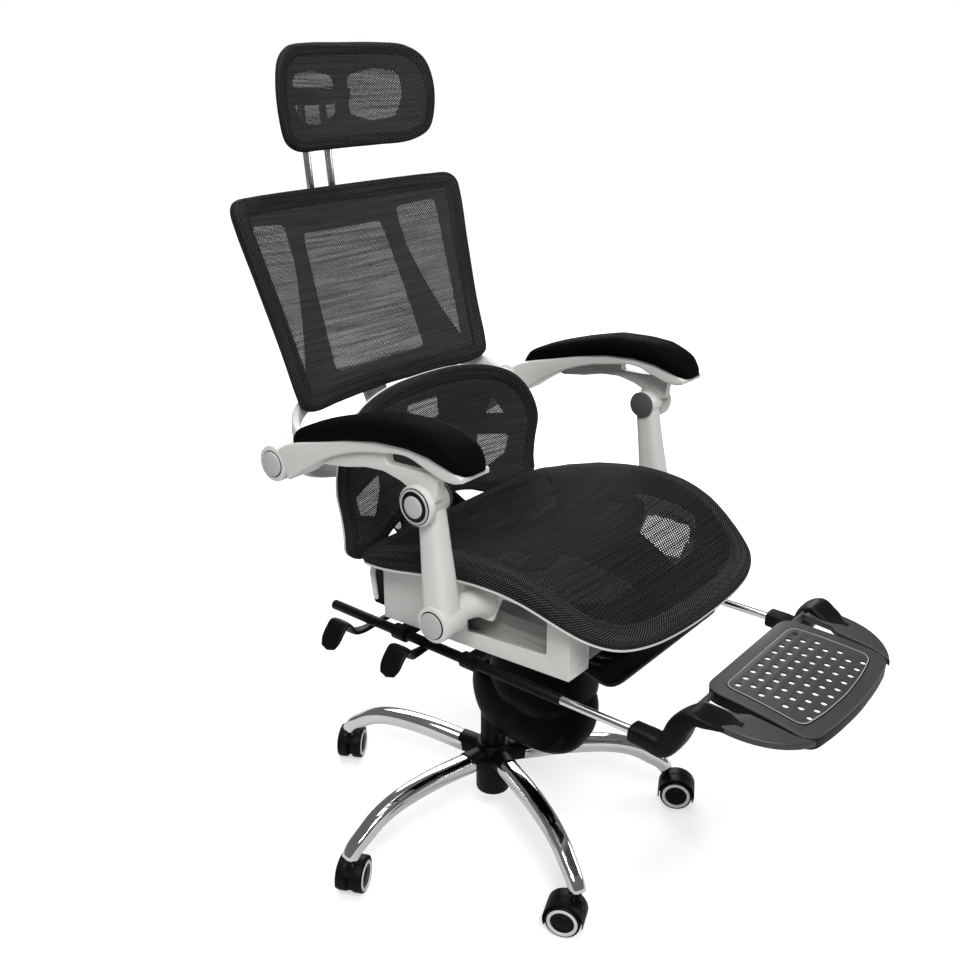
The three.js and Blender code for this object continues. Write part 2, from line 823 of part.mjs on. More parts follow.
function seatShell() {
  const deckBottom = panBottom + panHeight + touchGap;
  const deckReach = pontoonInner + skirtWall * halfShare;
  const deck = box(V(-deckReach, skirtFront + capRadius, deckBottom), V(deckReach, skirtRear - skirtWall, deckTop));
  const half = seatPontoon();
  const body = joined(seatFlare(), deck, ...half, ...half.map(mirrored));
  const bores = [1, -1].map((side) => crossRod(
    side * (skirtX - skirtWall - overrun), side * (postInner + overrun), postFootY, postFootZ, pivotPin + runGap, 12,
  ));
  return cut(body, ...bores);
}

// The black frame under the mesh: a rim and a floor with windows, mirrored about the middle
const frameFloorLifts = [-6, -1];
const seatWindowShares = [
  [[0.6, 0.5], [0.66, 0.61], [0.85, 0.76], [0.86, 0.8], [0.78, 0.85], [0.33, 0.86], [0.06, 0.66], [0.38, 0.58]],
  [[0.71, 0.53], [0.84, 0.53], [0.86, 0.62], [0.74, 0.62]],
  [[0.06, 0.34], [0.1, 0.23], [0.64, 0.2], [0.4, 0.32]],
];

function seatFrame() {
  const bottom = [ringOuter, ringInner].map((distance) => [distance, flareLift(distance) + touchGap]);
  const sections = [...bottom, [ringInner, ringHeight - rimThick], [ringOuter, ringHeight]];
  const windows = [];
  for (const shares of seatWindowShares) {
    const hole = roundedCorners(shares.map(([x, y]) => [x * seatHalf, seatRear - y * seatLength]), overrun, 1);
    windows.push(hole, hole.map(([x, y]) => [-x, y]).reverse());
  }
  const floor = windowedSheet({
    outline: inset(seatOutline, ringWidth), windows, place: seatPlace,
    plane: (x, y, lift) => V(x, y, rimFront + lift), lifts: frameFloorLifts,
  });
  return joined(ringBody(sections, seatOutline, borderPlace), floor);
}

function seatMesh() {
  return meshSheet({
    outline: seatOutline, place: borderPlace, foot: rimLip + touchGap, band: borderHeight,
    thick: meshThick, lip: lipWidth, sag: seatSag,
  });
}

// Footrest: rails, rods that slide in them, cranked arms and the perforated pad

function footRail() {
  const bore = rod(V(railX, railFront - overrun, railZ), V(railX, railRear - overrun, railZ), railBore, 14);
  return cut(rod(V(railX, railFront, railZ), V(railX, railRear, railZ), railRadius, 12), bore);
}

function footRod() {
  return rod(V(railX, rodFront, railZ), V(railX, rodRear, railZ), rodRadius, 14);
}

const footArmStops = [
  { y: -352, z: 454, x: 204, half: 15, thick: 25 },
  { y: -380, z: 453, x: 204, half: 16, thick: 26 },
  { y: -404, z: 452, x: 203, half: 18, thick: 28 },
  { y: -416, z: 470, x: 199, half: 20, thick: 32 },
  { y: -424, z: 495, x: 193, half: 22, thick: 32 },
  { y: -436, z: 514, x: 186, half: 23, thick: 26 },
  { y: -454, z: 511, x: 178, half: 23, thick: 18 },
  { y: -475, z: 500, x: 171, half: 19, thick: 12 },
  { y: -498, z: 497, x: 167, half: 17, thick: 10 },
];
const footArmSquareShare = 0.6;

// The foot of each arm spreads into a flat wing beside the pad, level with it
const wingShares = [
  [26, 0.116], [26, 0.384], [14, 0.453], [13, 0.79], [7, 0.89], [-4, 0.953], [21, 0.89], [41, 0.79], [56, 0.657],
  [64, 0.512], [66, 0.337], [62, 0.163], [56, 0.116],
];
const wingThick = 10;
const wingStep = 40;

function padHeightAt(y, lift) {
  const share = (padRear - y) / (padRear - padFront);
  return padTop - padDroop * share * share + lift;
}

function footWing() {
  const outline = wingShares.map(([out, along]) => [padRearHalf + out, padRear + (padFront - padRear) * along]);
  return bentPlate(outline, [], (x, y, lift) => V(x, y, padHeightAt(y, lift)), -wingThick, wingThick, wingStep);
}

function footArm() {
  const stops = footArmStops.map(({ y, z, x, half, thick }) => ({ at: V(x, y, z), half, thick }));
  const socket = rod(V(railX, footArmStops[0].y + overrun, railZ), V(railX, rodFront - touchGap, railZ),
    rodRadius + touchGap, 14);
  const bore = crossRod(padRearHalf, railX - rodRadius * 3, padPivotY, padPivotZ, trunnionRadius + runGap, 12);
  return cut(joined(bar(stops, 10, footArmSquareShare), footWing()), socket, bore);
}

const padRaise = 1.4;
const padPanelInset = 21;
const padWall = 6;
const padBow = 12;
const holeFieldShares = { across: 0.72, rear: 0.2, front: 0.8 };

function padOutline(margin) {
  const [rear, side, front] = [padRear - margin, padFront + padBow + margin, padFront + margin];
  const [rearHalf, frontHalf] = [padRearHalf - margin, padFrontHalf - margin];
  const corners = [[rearHalf, rear], [frontHalf, side], [0, front], [-frontHalf, side], [-rearHalf, rear]];
  return divided(roundedCorners(corners, padCorner - margin * halfShare, 3), padCorner * 2);
}

function padHoles() {
  const holes = [];
  for (let r = 0; r < holeRows; r++) {
    const along = holeFieldShares.rear + (holeFieldShares.front - holeFieldShares.rear) * r / (holeRows - 1);
    const count = holeColumns - r % 2;
    const pitch = padRearHalf * 2 * holeFieldShares.across / (holeColumns - 1);
    for (let c = 0; c < count; c++) {
      const x = (c - (count - 1) * halfShare) * pitch;
      const y = padRear + (padFront - padRear) * along;
      holes.push(rod(V(x, y, -padThick - overrun), V(x, y, padRaise + overrun), holeRadius, 6));
    }
  }
  return holes;
}

function footPad() {
  const slab = flatPlate(padOutline(0), -padThick, padThick);
  const panel = flatPlate(padOutline(padPanelInset), -padSkin, padSkin + padRaise);
  const pocket = flatPlate(padOutline(padWall), -padThick - overrun, padThick - padSkin + overrun);
  const form = cut(joined(slab, panel), pocket, ...padHoles());
  const points = form.attributes.position;
  for (let i = 0; i < points.count; i++) {
    points.setZ(i, padHeightAt(points.getY(i), points.getZ(i)));
  }
  const reach = railX - rodRadius * 3 - trunnionRadius;
  const pins = [1, -1].map((side) => crossRod(
    side * (padRearHalf - padCorner), side * reach, padPivotY, padPivotZ, trunnionRadius, 12,
  ));
  return joined(form, ...pins);
}

// Levers: a pivot barrel with trunnions, a flat arm and a drooping paddle

const leverStops = [
  { x: -88, z: 426, half: 6, thick: 9, shift: 0 },
  { x: -176, z: 426, half: 7, thick: 8, shift: 0 },
  { x: -206, z: 429, half: 9, thick: 7, shift: 0.3 },
  { x: -222, z: 436, half: 15, thick: 8, shift: 0.7 },
  { x: -240, z: 444, half: 20, thick: 9, shift: 1 },
  { x: -260, z: 447, half: 19, thick: 8, shift: 1 },
  { x: -276, z: 442, half: 11, thick: 6, shift: 1 },
];
const leverBarrel = 7;
const leverBarrelHalf = 7;

function lever(y, shift) {
  const stops = leverStops.map((stop) => ({ at: V(stop.x, y + shift * stop.shift, stop.z), half: stop.half, thick: stop.thick }));
  const reach = leverEarInner + leverEarThick;
  return joined(
    bar(stops, 8, 0.8, V(0, 1, 0)),
    rod(V(leverPivotX, y - leverBarrelHalf, leverZ), V(leverPivotX, y + leverBarrelHalf, leverZ), leverBarrel, 12),
    rod(V(leverPivotX, y - reach, leverZ), V(leverPivotX, y + reach, leverZ), leverPin, 10),
  );
}

// Upper back: outline in width and height along the panel, laid on a hollow leaning surface

function hollowPlace({ y, z, half, hollow, lean }) {
  const s = Math.sin(radians(lean));
  const c = Math.cos(radians(lean));
  return (a, b, lift) => {
    const across = a / half;
    const deep = hollow * (1 - across * across) - lift;
    return V(a, y + b * s + deep * c, z + b * c - deep * s);
  };
}

const panelHalfShares = [
  [0, 0], [0.5, 0], [0.78, 0.008], [0.855, 0.035], [0.875, 0.09], [0.9, 0.3], [0.95, 0.62], [0.99, 0.87],
  [0.985, 0.95], [0.94, 0.988], [0.8, 1], [0.45, 1], [0, 1],
];
const panelPoints = 32;
const panelOutline = spline(
  mirroredOutline(panelHalfShares.map(([a, b]) => [a * panelTopHalf, b * panelHeight])),
  panelPoints,
);
const panelSurface = {
  y: panelBottomY, z: panelBottomZ, half: panelTopHalf, hollow: panelHollow, lean: backLean,
};
const panelPlace = hollowPlace(panelSurface);
const panelPlane = hollowPlace({ ...panelSurface, hollow: 0 });
const panelSag = 6;
const panelFrameLifts = { foot: -9, top: 5, floor: [-8, -3] };
const panelWindowShares = [[0.33, 0.83], [0.36, 0.72], [0.39, 0.5], [0.43, 0.15]];
const panelSideShares = [
  [0.5, 0.86], [0.77, 0.86], [0.755, 0.5], [0.72, 0.15], [0.62, 0.33], [0.55, 0.5], [0.5, 0.68],
];
const windowCorner = 9;

// The top bar of the panel carries the receiver, and the headrest is placed from there
const receiverShare = 0.93;
const receiverSeat = panelPlace(0, panelHeight * receiverShare, panelFrameLifts.floor[0]);
const receiverY = Math.round(receiverSeat.y);
const receiverZ = Math.floor(receiverSeat.z);
const headY = receiverY + headAhead;
const headZ = receiverZ + headRise;
const headPivotY = receiverY + headPivotBehind;
const headPivotZ = receiverZ + headPivotRise;
const postRodY = receiverY + postRodBehind;
const postRodZ = receiverZ + postRodRise;
const postRodTop = receiverZ + postRodTopRise;
const postRodBottom = receiverZ + postRodBottomRise;

// A rim round the panel and a windowed floor inside it
function panelFrame({ outline, place, plane, lifts, ring, windows }) {
  const edge = lipWidth + touchGap;
  const rim = ringBody(
    [[edge, lifts.foot], [edge, lifts.top], [ring, lifts.top], [ring, lifts.foot]],
    outline, place,
  );
  const holes = windows.map((corners) => roundedCorners(corners, windowCorner, 1));
  const floor = windowedSheet({
    outline: thinned(inset(outline, ring - lipWidth)), windows: holes, place, plane, lifts: lifts.floor,
  });
  return joined(rim, floor);
}

function upperBackFrame() {
  const measured = (shares) => shares.map(([a, b]) => [a * panelTopHalf, b * panelHeight]);
  const side = measured(panelSideShares);
  const middle = measured(panelWindowShares);
  const windows = [[...middle, ...flippedOutline(middle)], side, flippedOutline(side)];
  const frame = panelFrame({
    outline: panelOutline, place: panelPlace, plane: panelPlane, lifts: panelFrameLifts, ring: panelRing, windows,
  });
  return joined(frame, receiverBlock(), ...[1, -1].map((side) => sided(stubBlock(), side)));
}

function upperBackMesh() {
  return meshSheet({
    outline: panelOutline, place: panelPlace, foot: panelFrameLifts.foot, band: panelBand,
    thick: meshThick, lip: lipWidth, sag: panelSag,
  });
}

// The panel is bolted to the back frame at two blocks near its lower edge
const stubXs = [50, 80];
const stubYs = [286, 303];
const stubZs = [780, 806];

function stubBlock() {
  return box(V(stubXs[0], stubYs[0], stubZs[0]), V(stubXs[1], stubYs[1] - touchGap, stubZs[1]));
}

const receiverHalf = 38;
const receiverYs = [receiverY + 11, receiverY + 39];
const receiverZs = [receiverZ - 16, receiverZ + 40];
const receiverBlockHalf = 30;
const receiverBlockFront = receiverY - 5;
const receiverBlockZs = [receiverZ - 8, receiverZ + 16];

function receiverBlock() {
  return box(
    V(-receiverBlockHalf, receiverBlockFront, receiverBlockZs[0]),
    V(receiverBlockHalf, receiverYs[0] - touchGap, receiverBlockZs[1]),
  );
}

// Headrest posts slide in the receiver, along a line that leans a little
function alongPost(z, x) {
  return V(x, postRodY + (z - postRodZ) * Math.tan(radians(postRodLean)), z);
}

function postLine(x, z1, z2, radius) {
  return rod(alongPost(z1, x), alongPost(z2, x), radius, 14);
}

function headrestReceiver() {
  const low = V(-receiverHalf, receiverYs[0], receiverZs[0]);
  const form = box(low, V(receiverHalf, receiverYs[1], receiverZs[1]));
  const bores = [1, -1].map((side) => postLine(
    side * postGap, receiverZs[0] - overrun, receiverZs[1] + overrun, postRodRadius + touchGap,
  ));
  return cut(form, ...bores);
}

function headrestPost() {
  return postLine(postGap, postRodBottom, postRodTop, postRodRadius);
}

const bracketHalf = 36;
const bracketYs = [receiverY + 23, receiverY + 51];
const bracketZs = [receiverZ + 158, receiverZ + 186];
const knuckleHalf = 12;
const knuckleRadius = 10;
const headLugs = [14, 22];
const headPinReach = 24;

function headrestBracket() {
  const block = box(V(-bracketHalf, bracketYs[0], bracketZs[0]), V(bracketHalf, bracketYs[1], bracketZs[1]));
  const neckLow = V(-knuckleHalf, headPivotY, headPivotZ - knuckleRadius);
  const neck = box(neckLow, V(knuckleHalf, bracketYs[0] + overrun, headPivotZ + knuckleRadius));
  const bores = [1, -1].map((side) => postLine(
    side * postGap, bracketZs[0] - overrun, postRodTop + touchGap, postRodRadius + touchGap,
  ));
  return cut(joined(
    block, neck,
    crossRod(-knuckleHalf, knuckleHalf, headPivotY, headPivotZ, knuckleRadius, 14),
    crossRod(-headPinReach, headPinReach, headPivotY, headPivotZ, trunnionRadius, 12),
  ), ...bores);
}

const headHalfShares = [
  [0, -1.03], [0.35, -1.03], [0.68, -1], [0.9, -0.74], [0.99, -0.28], [0.99, 0.2], [0.87, 0.65], [0.68, 0.93],
  [0.45, 1], [0, 1.03],
];
const headPoints = 24;
const headOutline = spline(
  mirroredOutline(headHalfShares.map(([a, b]) => [a * headHalf, b * headHalfHeight])),
  headPoints,
);
const headSurface = { y: headY - headHollow, z: headZ, half: headHalf, hollow: headHollow, lean: headLean };
const headPlace = hollowPlace(headSurface);
const headPlane = hollowPlace({ ...headSurface, hollow: 0 });
const headLifts = { foot: -7, top: 4, floor: [-6, -2] };
const headBand = 8;
const headRing = 17;
const headWindowShares = [
  [0.08, -0.36], [0.34, -0.54], [0.64, -0.48], [0.73, -0.05], [0.7, 0.42], [0.42, 0.52], [0.09, 0.4],
];
const headSag = 5;
const lugRadius = 9;
const headLugBehind = 4;
const headLugFront = headY + headLugBehind;

function headrestFrame() {
  const right = headWindowShares.map(([a, b]) => [a * headHalf, b * headHalfHeight]);
  const windows = [right, right.map(([a, b]) => [-a, b])];
  const frame = panelFrame({
    outline: headOutline, place: headPlace, plane: headPlane, lifts: headLifts, ring: headRing, windows,
  });
  const lug = joined(
    box(V(headLugs[0], headLugFront, headPivotZ - lugRadius), V(headLugs[1], headPivotY, headPivotZ + lugRadius)),
    crossRod(headLugs[0], headLugs[1], headPivotY, headPivotZ, lugRadius, 14),
  );
  const bore = crossRod(-headPinReach - overrun, headPinReach + overrun, headPivotY, headPivotZ,
    trunnionRadius + runGap, 12);
  return cut(joined(frame, lug, mirrored(lug)), bore);
}

function headrestMesh() {
  return meshSheet({
    outline: headOutline, place: headPlace, foot: headLifts.foot, band: headBand,
    thick: meshThick, lip: lipWidth, sag: headSag,
  });
}

// Lumbar cushion: a kidney outline, notched at the middle of its lower edge
const lumbarHalfShares = [
  [0, -0.76], [0.3, -0.82], [0.56, -0.92], [0.76, -0.96], [0.89, -0.82], [0.985, -0.38], [0.985, 0.1],
  [0.93, 0.5], [0.8, 0.86], [0.62, 1.06], [0.36, 1.18], [0, 1.22],
];
const lumbarPoints = 30;
const lumbarOutline = spline(
  mirroredOutline(lumbarHalfShares.map(([a, b]) => [a * lumbarHalf, b * lumbarHalfHeight])),
  lumbarPoints,
);
const lumbarPlace = hollowPlace({
  y: lumbarY - lumbarHollow, z: lumbarZ, half: lumbarHalf, hollow: lumbarHollow, lean: lumbarLean,
});
const lumbarPlane = hollowPlace({
  y: lumbarY - lumbarHollow, z: lumbarZ, half: lumbarHalf, hollow: 0, lean: lumbarLean,
});
const lumbarLifts = { foot: -5, top: 4, heel: -9, floor: [-7, -3] };
const lumbarMiddleShares = [[0.15, 0.82], [0.16, 0.48]];
const lumbarWindowShares = [
  [[0.65, 0.57], [0.75, 0.21], [0.57, 0.31]],
  [[0.49, -0.01], [0.78, -0.16], [0.74, -0.47], [0.56, -0.64], [0.49, -0.26]],
];
const lumbarRing = 18;
const lumbarBand = 9;
const lumbarSag = 6;
const lumbarLugs = [25, 33];
const lumbarPinReach = 36;
const hingeHalf = 24;
const hingeFront = 214;
const plateFront = 240;
const hingeZs = [655, 685];

function lumbarFrame() {
  const edge = lipWidth + touchGap * 2;
  const sections = [
    [0, lumbarLifts.heel], [0, lumbarLifts.foot], [edge, lumbarLifts.foot], [edge, lumbarLifts.top],
    [lumbarRing, lumbarLifts.top], [lumbarRing, lumbarLifts.heel],
  ];
  const measured = (shares) => shares.map(([a, b]) => [a * lumbarHalf, b * lumbarHalfHeight]);
  const middle = measured(lumbarMiddleShares);
  const windows = [[...middle, ...flippedOutline(middle)]];
  lumbarWindowShares.map(measured).forEach((side) => windows.push(side, flippedOutline(side)));
  const floor = windowedSheet({
    outline: thinned(inset(lumbarOutline, lumbarRing - lipWidth)), place: lumbarPlace, plane: lumbarPlane,
    windows: windows.map((corners) => roundedCorners(corners, overrun, 1)), lifts: lumbarLifts.floor,
  });
  const lug = joined(
    box(V(lumbarLugs[0], lumbarY, lumbarZ - lugRadius), V(lumbarLugs[1], lumbarPivotY, lumbarZ + lugRadius)),
    crossRod(lumbarLugs[0], lumbarLugs[1], lumbarPivotY, lumbarZ, lugRadius, 14),
  );
  const bore = crossRod(-lumbarPinReach - overrun, lumbarPinReach + overrun, lumbarPivotY, lumbarZ,
    trunnionRadius + runGap, 12);
  return cut(joined(ringBody(sections, lumbarOutline, lumbarPlace), floor, lug, mirrored(lug)), bore);
}

function lumbarMesh() {
  return meshSheet({
    outline: lumbarOutline, place: lumbarPlace, foot: lumbarLifts.foot + touchGap, band: lumbarBand,
    thick: meshThick, lip: lipWidth, sag: lumbarSag,
  });
}

function lumbarHinge() {
  return joined(
    box(V(-hingeHalf, hingeFront, hingeZs[0]), V(hingeHalf, plateFront - touchGap, hingeZs[1])),
    crossRod(-lumbarPinReach, lumbarPinReach, lumbarPivotY, lumbarZ, trunnionRadius, 12),
  );
}

// Back frame: lower yoke, spine, upper crossbar, and the pins of the armrests

const spineFoot = [254, 660];
const spineHead = [322, 788];
const yokeShares = [[242, 1, 1], [236, 0.72, 0.71], [200, 0.39, 0.43], [120, 0.11, 0.11], [50, 0, 0.01]];
const crossbarEnd = [rearPivot[0] + 6, rearPivot[1] + 10];
const crossbarShares = [
  [240, 1, 1], [236, 0.8, 0.71], [215, 0.57, 0.42], [170, 0.37, 0.17], [110, 0.16, 0.06], [60, 0.04, 0.02],
];

// Stops of a bar that bows from one armrest pivot past the spine to the other
function bowed([middleY, middleZ], [endY, endZ], shares) {
  const half = shares.map(([x, y, z]) => [x, middleY + (endY - middleY) * y, middleZ + (endZ - middleZ) * z]);
  return [...half.map(([x, y, z]) => [-x, y, z]), [0, middleY, middleZ], ...[...half].reverse()];
}

const yokeHeightHalf = 20;
const yokeDeep = 14;
const crossbarHeightHalf = 13;
const spineStops = [[0, 322, 790], [0, 306, 750], [0, 279, 705], [0, 256, 660]];
const spineHalf = 26;
const spineDeep = 16;
const mountHalf = 28;
const mountRear = 252;
const mountZs = [600, 690];
const bossHalf = 24;

function pathBar(points, half, deep, across, square) {
  return bar(points.map(([x, y, z]) => ({ at: V(x, y, z), half, thick: deep })), 8, square, across);
}

function backFrame() {
  const upright = V(0, 0, 1);
  const bossInner = armInner - capRadius;
  const pieces = [
    pathBar(bowed(spineFoot, rearPivot, yokeShares), yokeHeightHalf, yokeDeep, upright, 0.6),
    pathBar(bowed(spineHead, crossbarEnd, crossbarShares), crossbarHeightHalf, yokeDeep, upright, 0.6),
    pathBar(spineStops, spineHalf, spineDeep, V(1, 0, 0), 0.6),
    box(V(-mountHalf, plateFront, mountZs[0]), V(mountHalf, mountRear, mountZs[1])),
  ];
  const pad = box(V(stubXs[0], stubYs[1], stubZs[0]), V(stubXs[1], stubYs[1] + yokeDeep, stubZs[1]));
  for (const side of [1, -1]) {
    pieces.push(crossRod(side * bossInner, side * (armInner - touchGap), ...rearPivot, bossHalf, 20));
    pieces.push(crossRod(side * armInner * 0.98, side * postOuter, ...rearPivot, pivotPin, 12));
    pieces.push(sided(pad, side));
  }
  return joined(...pieces);
}

const bracketArms = [30, 38];
const bracketPlateHalf = 40;
const bracketKnuckle = 15;
const bracketPlateYs = [252.3, 258];
const bracketPlateTop = 636;

function reclineBracket() {
  const [hingeY, hingeZ] = reclinePivot;
  const reach = earInner - touchGap;
  const plateLow = V(-bracketPlateHalf, bracketPlateYs[0], mountZs[0]);
  const plate = box(plateLow, V(bracketPlateHalf, bracketPlateYs[1], bracketPlateTop));
  const profile = [
    [hingeY - bracketKnuckle * 0.9, hingeZ], [hingeY + bracketKnuckle * 0.9, hingeZ],
    [bracketPlateYs[1], mountZs[0]], [bracketPlateYs[1], bracketPlateTop],
    [bracketPlateYs[0], bracketPlateTop], [bracketPlateYs[0], mountZs[0]],
  ];
  const arm = sidePlate(profile, bracketArms[0], bracketArms[1]);
  const knuckle = crossRod(-reach, reach, ...reclinePivot, bracketKnuckle, 18);
  const bore = crossRod(-reach - overrun, reach + overrun, ...reclinePivot, pivotPin + pivotGap, 12);
  return cut(joined(plate, arm, mirrored(arm), knuckle), bore);
}

// Armrests: a slanted post on the seat, an arched casting above it and a pad on top

const postStopShares = [[-0.02, 22.5, 50], [0.2, 21, 46], [0.5, 19, 40], [0.8, 17, 36], [1, 17, 34]];
const postOuterCap = armOuter - capThick;
const armRingRadius = 24;
const frontCapRadius = 17;
const innerCapRadius = 22;
const innerCapSpan = [256, 261.7];

function armPost() {
  const [footY, footZ] = [postFootY, postFootZ];
  const stops = postStopShares.map(([share, half, thick]) => ({
    at: V(postInner + half, footY + postSlant * share, footZ + postHeight * share), half, thick,
  }));
  const form = joined(
    bar(stops, 12, 0.7),
    crossRod(postInner, postOuterCap - touchGap, footY, footZ, footRadius, 20),
    crossRod(postInner, postOuter - touchGap * 2, ...frontPivot, footBossRadius - capThick, 18),
  );
  const bores = [[footY, footZ], frontPivot].map(([y, z]) => crossRod(
    postInner - overrun, postOuterCap + overrun, y, z, pivotPin + pivotGap, 12,
  ));
  return cut(form, ...bores);
}

function postFootCap() {
  const disc = crossRod(postOuterCap, postOuterCap + capThick, postFootY, postFootZ, capRadius, 18);
  return joined(disc, crossRod(seatHalf - capRadius, postOuterCap + 1, postFootY, postFootZ, pivotPin, 12));
}

const bandTopShares = [
  [0.954, 0.067], [0.9, 0.098], [0.827, 0.127], [0.655, 0.173], [0.444, 0.229], [0.232, 0.271], [0.035, 0.282],
  [-0.1, 0.268], [-0.21, 0.236], [-0.3, 0.2],
];
const bandBottomShares = [
  [-0.3, 0.185], [-0.24, 0.172], [-0.17, 0.172], [-0.09, 0.195], [0.053, 0.236], [0.215, 0.215],
  [0.37, 0.183], [0.549, 0.12], [0.736, 0.014], [0.884, -0.088],
];
const webShares = [
  [0.637, 0.05], [0.472, 0.075], [0.35, 0.105], [0.229, 0.114], [0.12, 0.092], [0.067, 0.07], [0.02, 0.03],
  [-0.1, 0.03], [-0.113, 0.144], [-0.2, 0.168], [-0.09, 0.21], [0.053, 0.257], [0.37, 0.2], [0.549, 0.14],
  [0.69, 0.07],
];
const webWindowShares = [
  [0.211, 0.155], [0.062, 0.16], [-0.06, 0.168], [-0.105, 0.187], [-0.05, 0.212], [0.062, 0.232], [0.211, 0.21],
];

function armPoints(shares) {
  return shares.map(([u, v]) => [frontPivot[0] + armSpan * u, frontPivot[1] + armSpan * v]);
}

function armrestFrame() {
  const band = sidePlate(armPoints([...bandTopShares, ...bandBottomShares]), armInner, armOuter);
  const web = sidePlate(armPoints(webShares), webInner, webOuter, [armPoints(webWindowShares)]);
  const boss = crossRod(armInner, armOuter, ...rearPivot, rearBossRadius, 20);
  const cheek = crossRod(postOuter - 1, armOuter, ...frontPivot, frontBossRadius, 20);
  return cut(
    joined(band, web, boss, cheek),
    crossRod(postInner - overrun, postOuter, ...frontPivot, footBossRadius, 20),
    crossRod(postOuter - overrun, armOuter + overrun, ...frontPivot, pivotPin + runGap, 12),
    crossRod(armInner - overrun, postOuter + touchGap * 2, ...rearPivot, pivotPin + pivotGap, 12),
    crossRod(postOuterCap, armOuter + overrun, ...rearPivot, capRadius + touchGap, 18),
  );
}

// The pad's section narrows to both ends: place along the arm, share of height, share of width
const padStopShares = [
  [0.905, 0.1, 0.25], [0.86, 0.45, 0.6], [0.827, 0.6, 0.72], [0.655, 0.85, 0.85], [0.444, 0.93, 0.93],
  [0.232, 1, 1], [0.035, 0.97, 1], [-0.1, 1, 1], [-0.21, 0.9, 0.95], [-0.27, 0.6, 0.75], [-0.3, 0.2, 0.42],
];
const padHeight = 30;
const padSectionShares = [[1, 0], [1, 0.45], [0.93, 0.75], [0.72, 0.94], [0.35, 1]];

function bandTopAt(u) {
  for (let k = 1; k < bandTopShares.length; k++) {
    const [u1, v1] = bandTopShares[k - 1];
    const [u2, v2] = bandTopShares[k];
    if (u >= u2) return v1 + (v2 - v1) * (u - u1) / (u2 - u1);
  }
  return bandTopShares.at(-1)[1];
}

function armPad() {
  const centre = mid(armInner, armOuter);
  const rings = padStopShares.map(([u, height, width]) => {
    const y = frontPivot[0] + armSpan * u;
    const z = frontPivot[1] + armSpan * bandTopAt(u) + touchGap;
    const right = padSectionShares.map(([x, up]) => V(centre + x * width * padHalf, y, z + up * height * padHeight));
    const left = right.map((point) => V(centre * 2 - point.x, y, point.z)).reverse();
    return [...right, ...left];
  });
  return skin(rings);
}

function frontPivotCap() {
  return joined(
    crossRod(armOuter, armOuter + capThick + 1, ...frontPivot, armRingRadius, 20),
    crossRod(armOuter, armOuter + capThick * 2, ...frontPivot, frontCapRadius, 18),
    crossRod(innerCapSpan[0], armOuter + 1, ...frontPivot, pivotPin, 12),
    crossRod(...innerCapSpan, ...frontPivot, innerCapRadius, 14),
  );
}

function rearPivotCap() {
  return crossRod(postOuterCap + touchGap, armOuter + capThick, ...rearPivot, capRadius, 18);
}

// Materials: slot name, colour, roughness, metalness

const paints = {
  white_plastic: ['#d3d0c8', 0.5, 0],
  black_plastic: ['#17181a', 0.5, 0],
  gloss_black: ['#0f1012', 0.18, 0],
  grey_pad: ['#35373a', 0.6, 0],
  mesh_fabric: ['#1a1b1d', 0.85, 0],
  arm_pad_foam: ['#1c1d1f', 0.7, 0],
  cap_grey: ['#8d8e8c', 0.4, 0],
  chrome: ['#c9ccd0', 0.14, 1],
  steel: ['#8f9296', 0.35, 1],
  wheel_black: ['#141416', 0.4, 0],
};

const chair = new THREE.Group();
chair.name = 'reclining_office_chair';

function addNode(name, paint, geometry, place = V(0, 0, 0), turn = 0) {
  const [color, roughness, metalness] = paints[paint];
  const bare = mergeVertices(stripped(geometry));
  bare.computeVertexNormals();
  const material = new THREE.MeshStandardMaterial({ color, roughness, metalness, flatShading: true });
  material.name = paint;
  const mesh = new THREE.Mesh(bare, material);
  mesh.name = name;
  mesh.position.copy(place);
  mesh.rotation.z = turn;
  chair.add(mesh);
}

function addPair(name, paint, geometry) {
  addNode(`${name}_left`, paint, geometry);
  addNode(`${name}_right`, paint, mirrored(geometry));
}

const column = V(0, columnY, 0);
addNode('base_hub', 'black_plastic', hub(), column);
addNode('gas_tube', 'steel', gasTube(), column);
addNode('gas_piston', 'chrome', gasPiston(), column);
for (let k = 0; k < legCount; k++) {
  const angle = legAngle(k);
  const tip = column.clone().add(V(Math.cos(angle), Math.sin(angle), 0).multiplyScalar(legReach));
  const turn = radians(casterTurns[k]) - Math.PI * halfShare;
  addNode(`base_leg_${k + 1}`, 'chrome', leg(), column, angle);
  addNode(`caster_hood_${k + 1}`, 'black_plastic', casterHood(), tip, turn);
  addNode(`caster_wheels_${k + 1}`, 'wheel_black', casterWheels(), tip, turn);
}
addNode('tilt_mechanism', 'black_plastic', tiltMechanism());
addNode('mechanism_cover', 'gloss_black', mechanismCover());
addNode('front_tray', 'black_plastic', frontTray());
addNode('rear_yoke', 'black_plastic', rearYoke());
addNode('recline_pin', 'steel', reclinePin());
addNode('height_lever', 'gloss_black', lever(heightLeverY, -overrun));
addNode('tilt_lever', 'gloss_black', lever(tiltLeverY, overrun));
addNode('seat_shell', 'white_plastic', seatShell());
addNode('seat_frame', 'black_plastic', seatFrame());
addNode('seat_mesh', 'mesh_fabric', seatMesh());
addPair('footrest_rail', 'black_plastic', footRail());
addPair('footrest_rod', 'chrome', footRod());
addPair('footrest_arm', 'black_plastic', footArm());
addNode('footrest_pad', 'grey_pad', footPad());
addNode('recline_bracket', 'black_plastic', reclineBracket());
addNode('back_frame', 'white_plastic', backFrame());
addNode('upper_back_frame', 'black_plastic', upperBackFrame());
addNode('upper_back_mesh', 'mesh_fabric', upperBackMesh());
addNode('lumbar_hinge', 'black_plastic', lumbarHinge());
addNode('lumbar_frame', 'white_plastic', lumbarFrame());
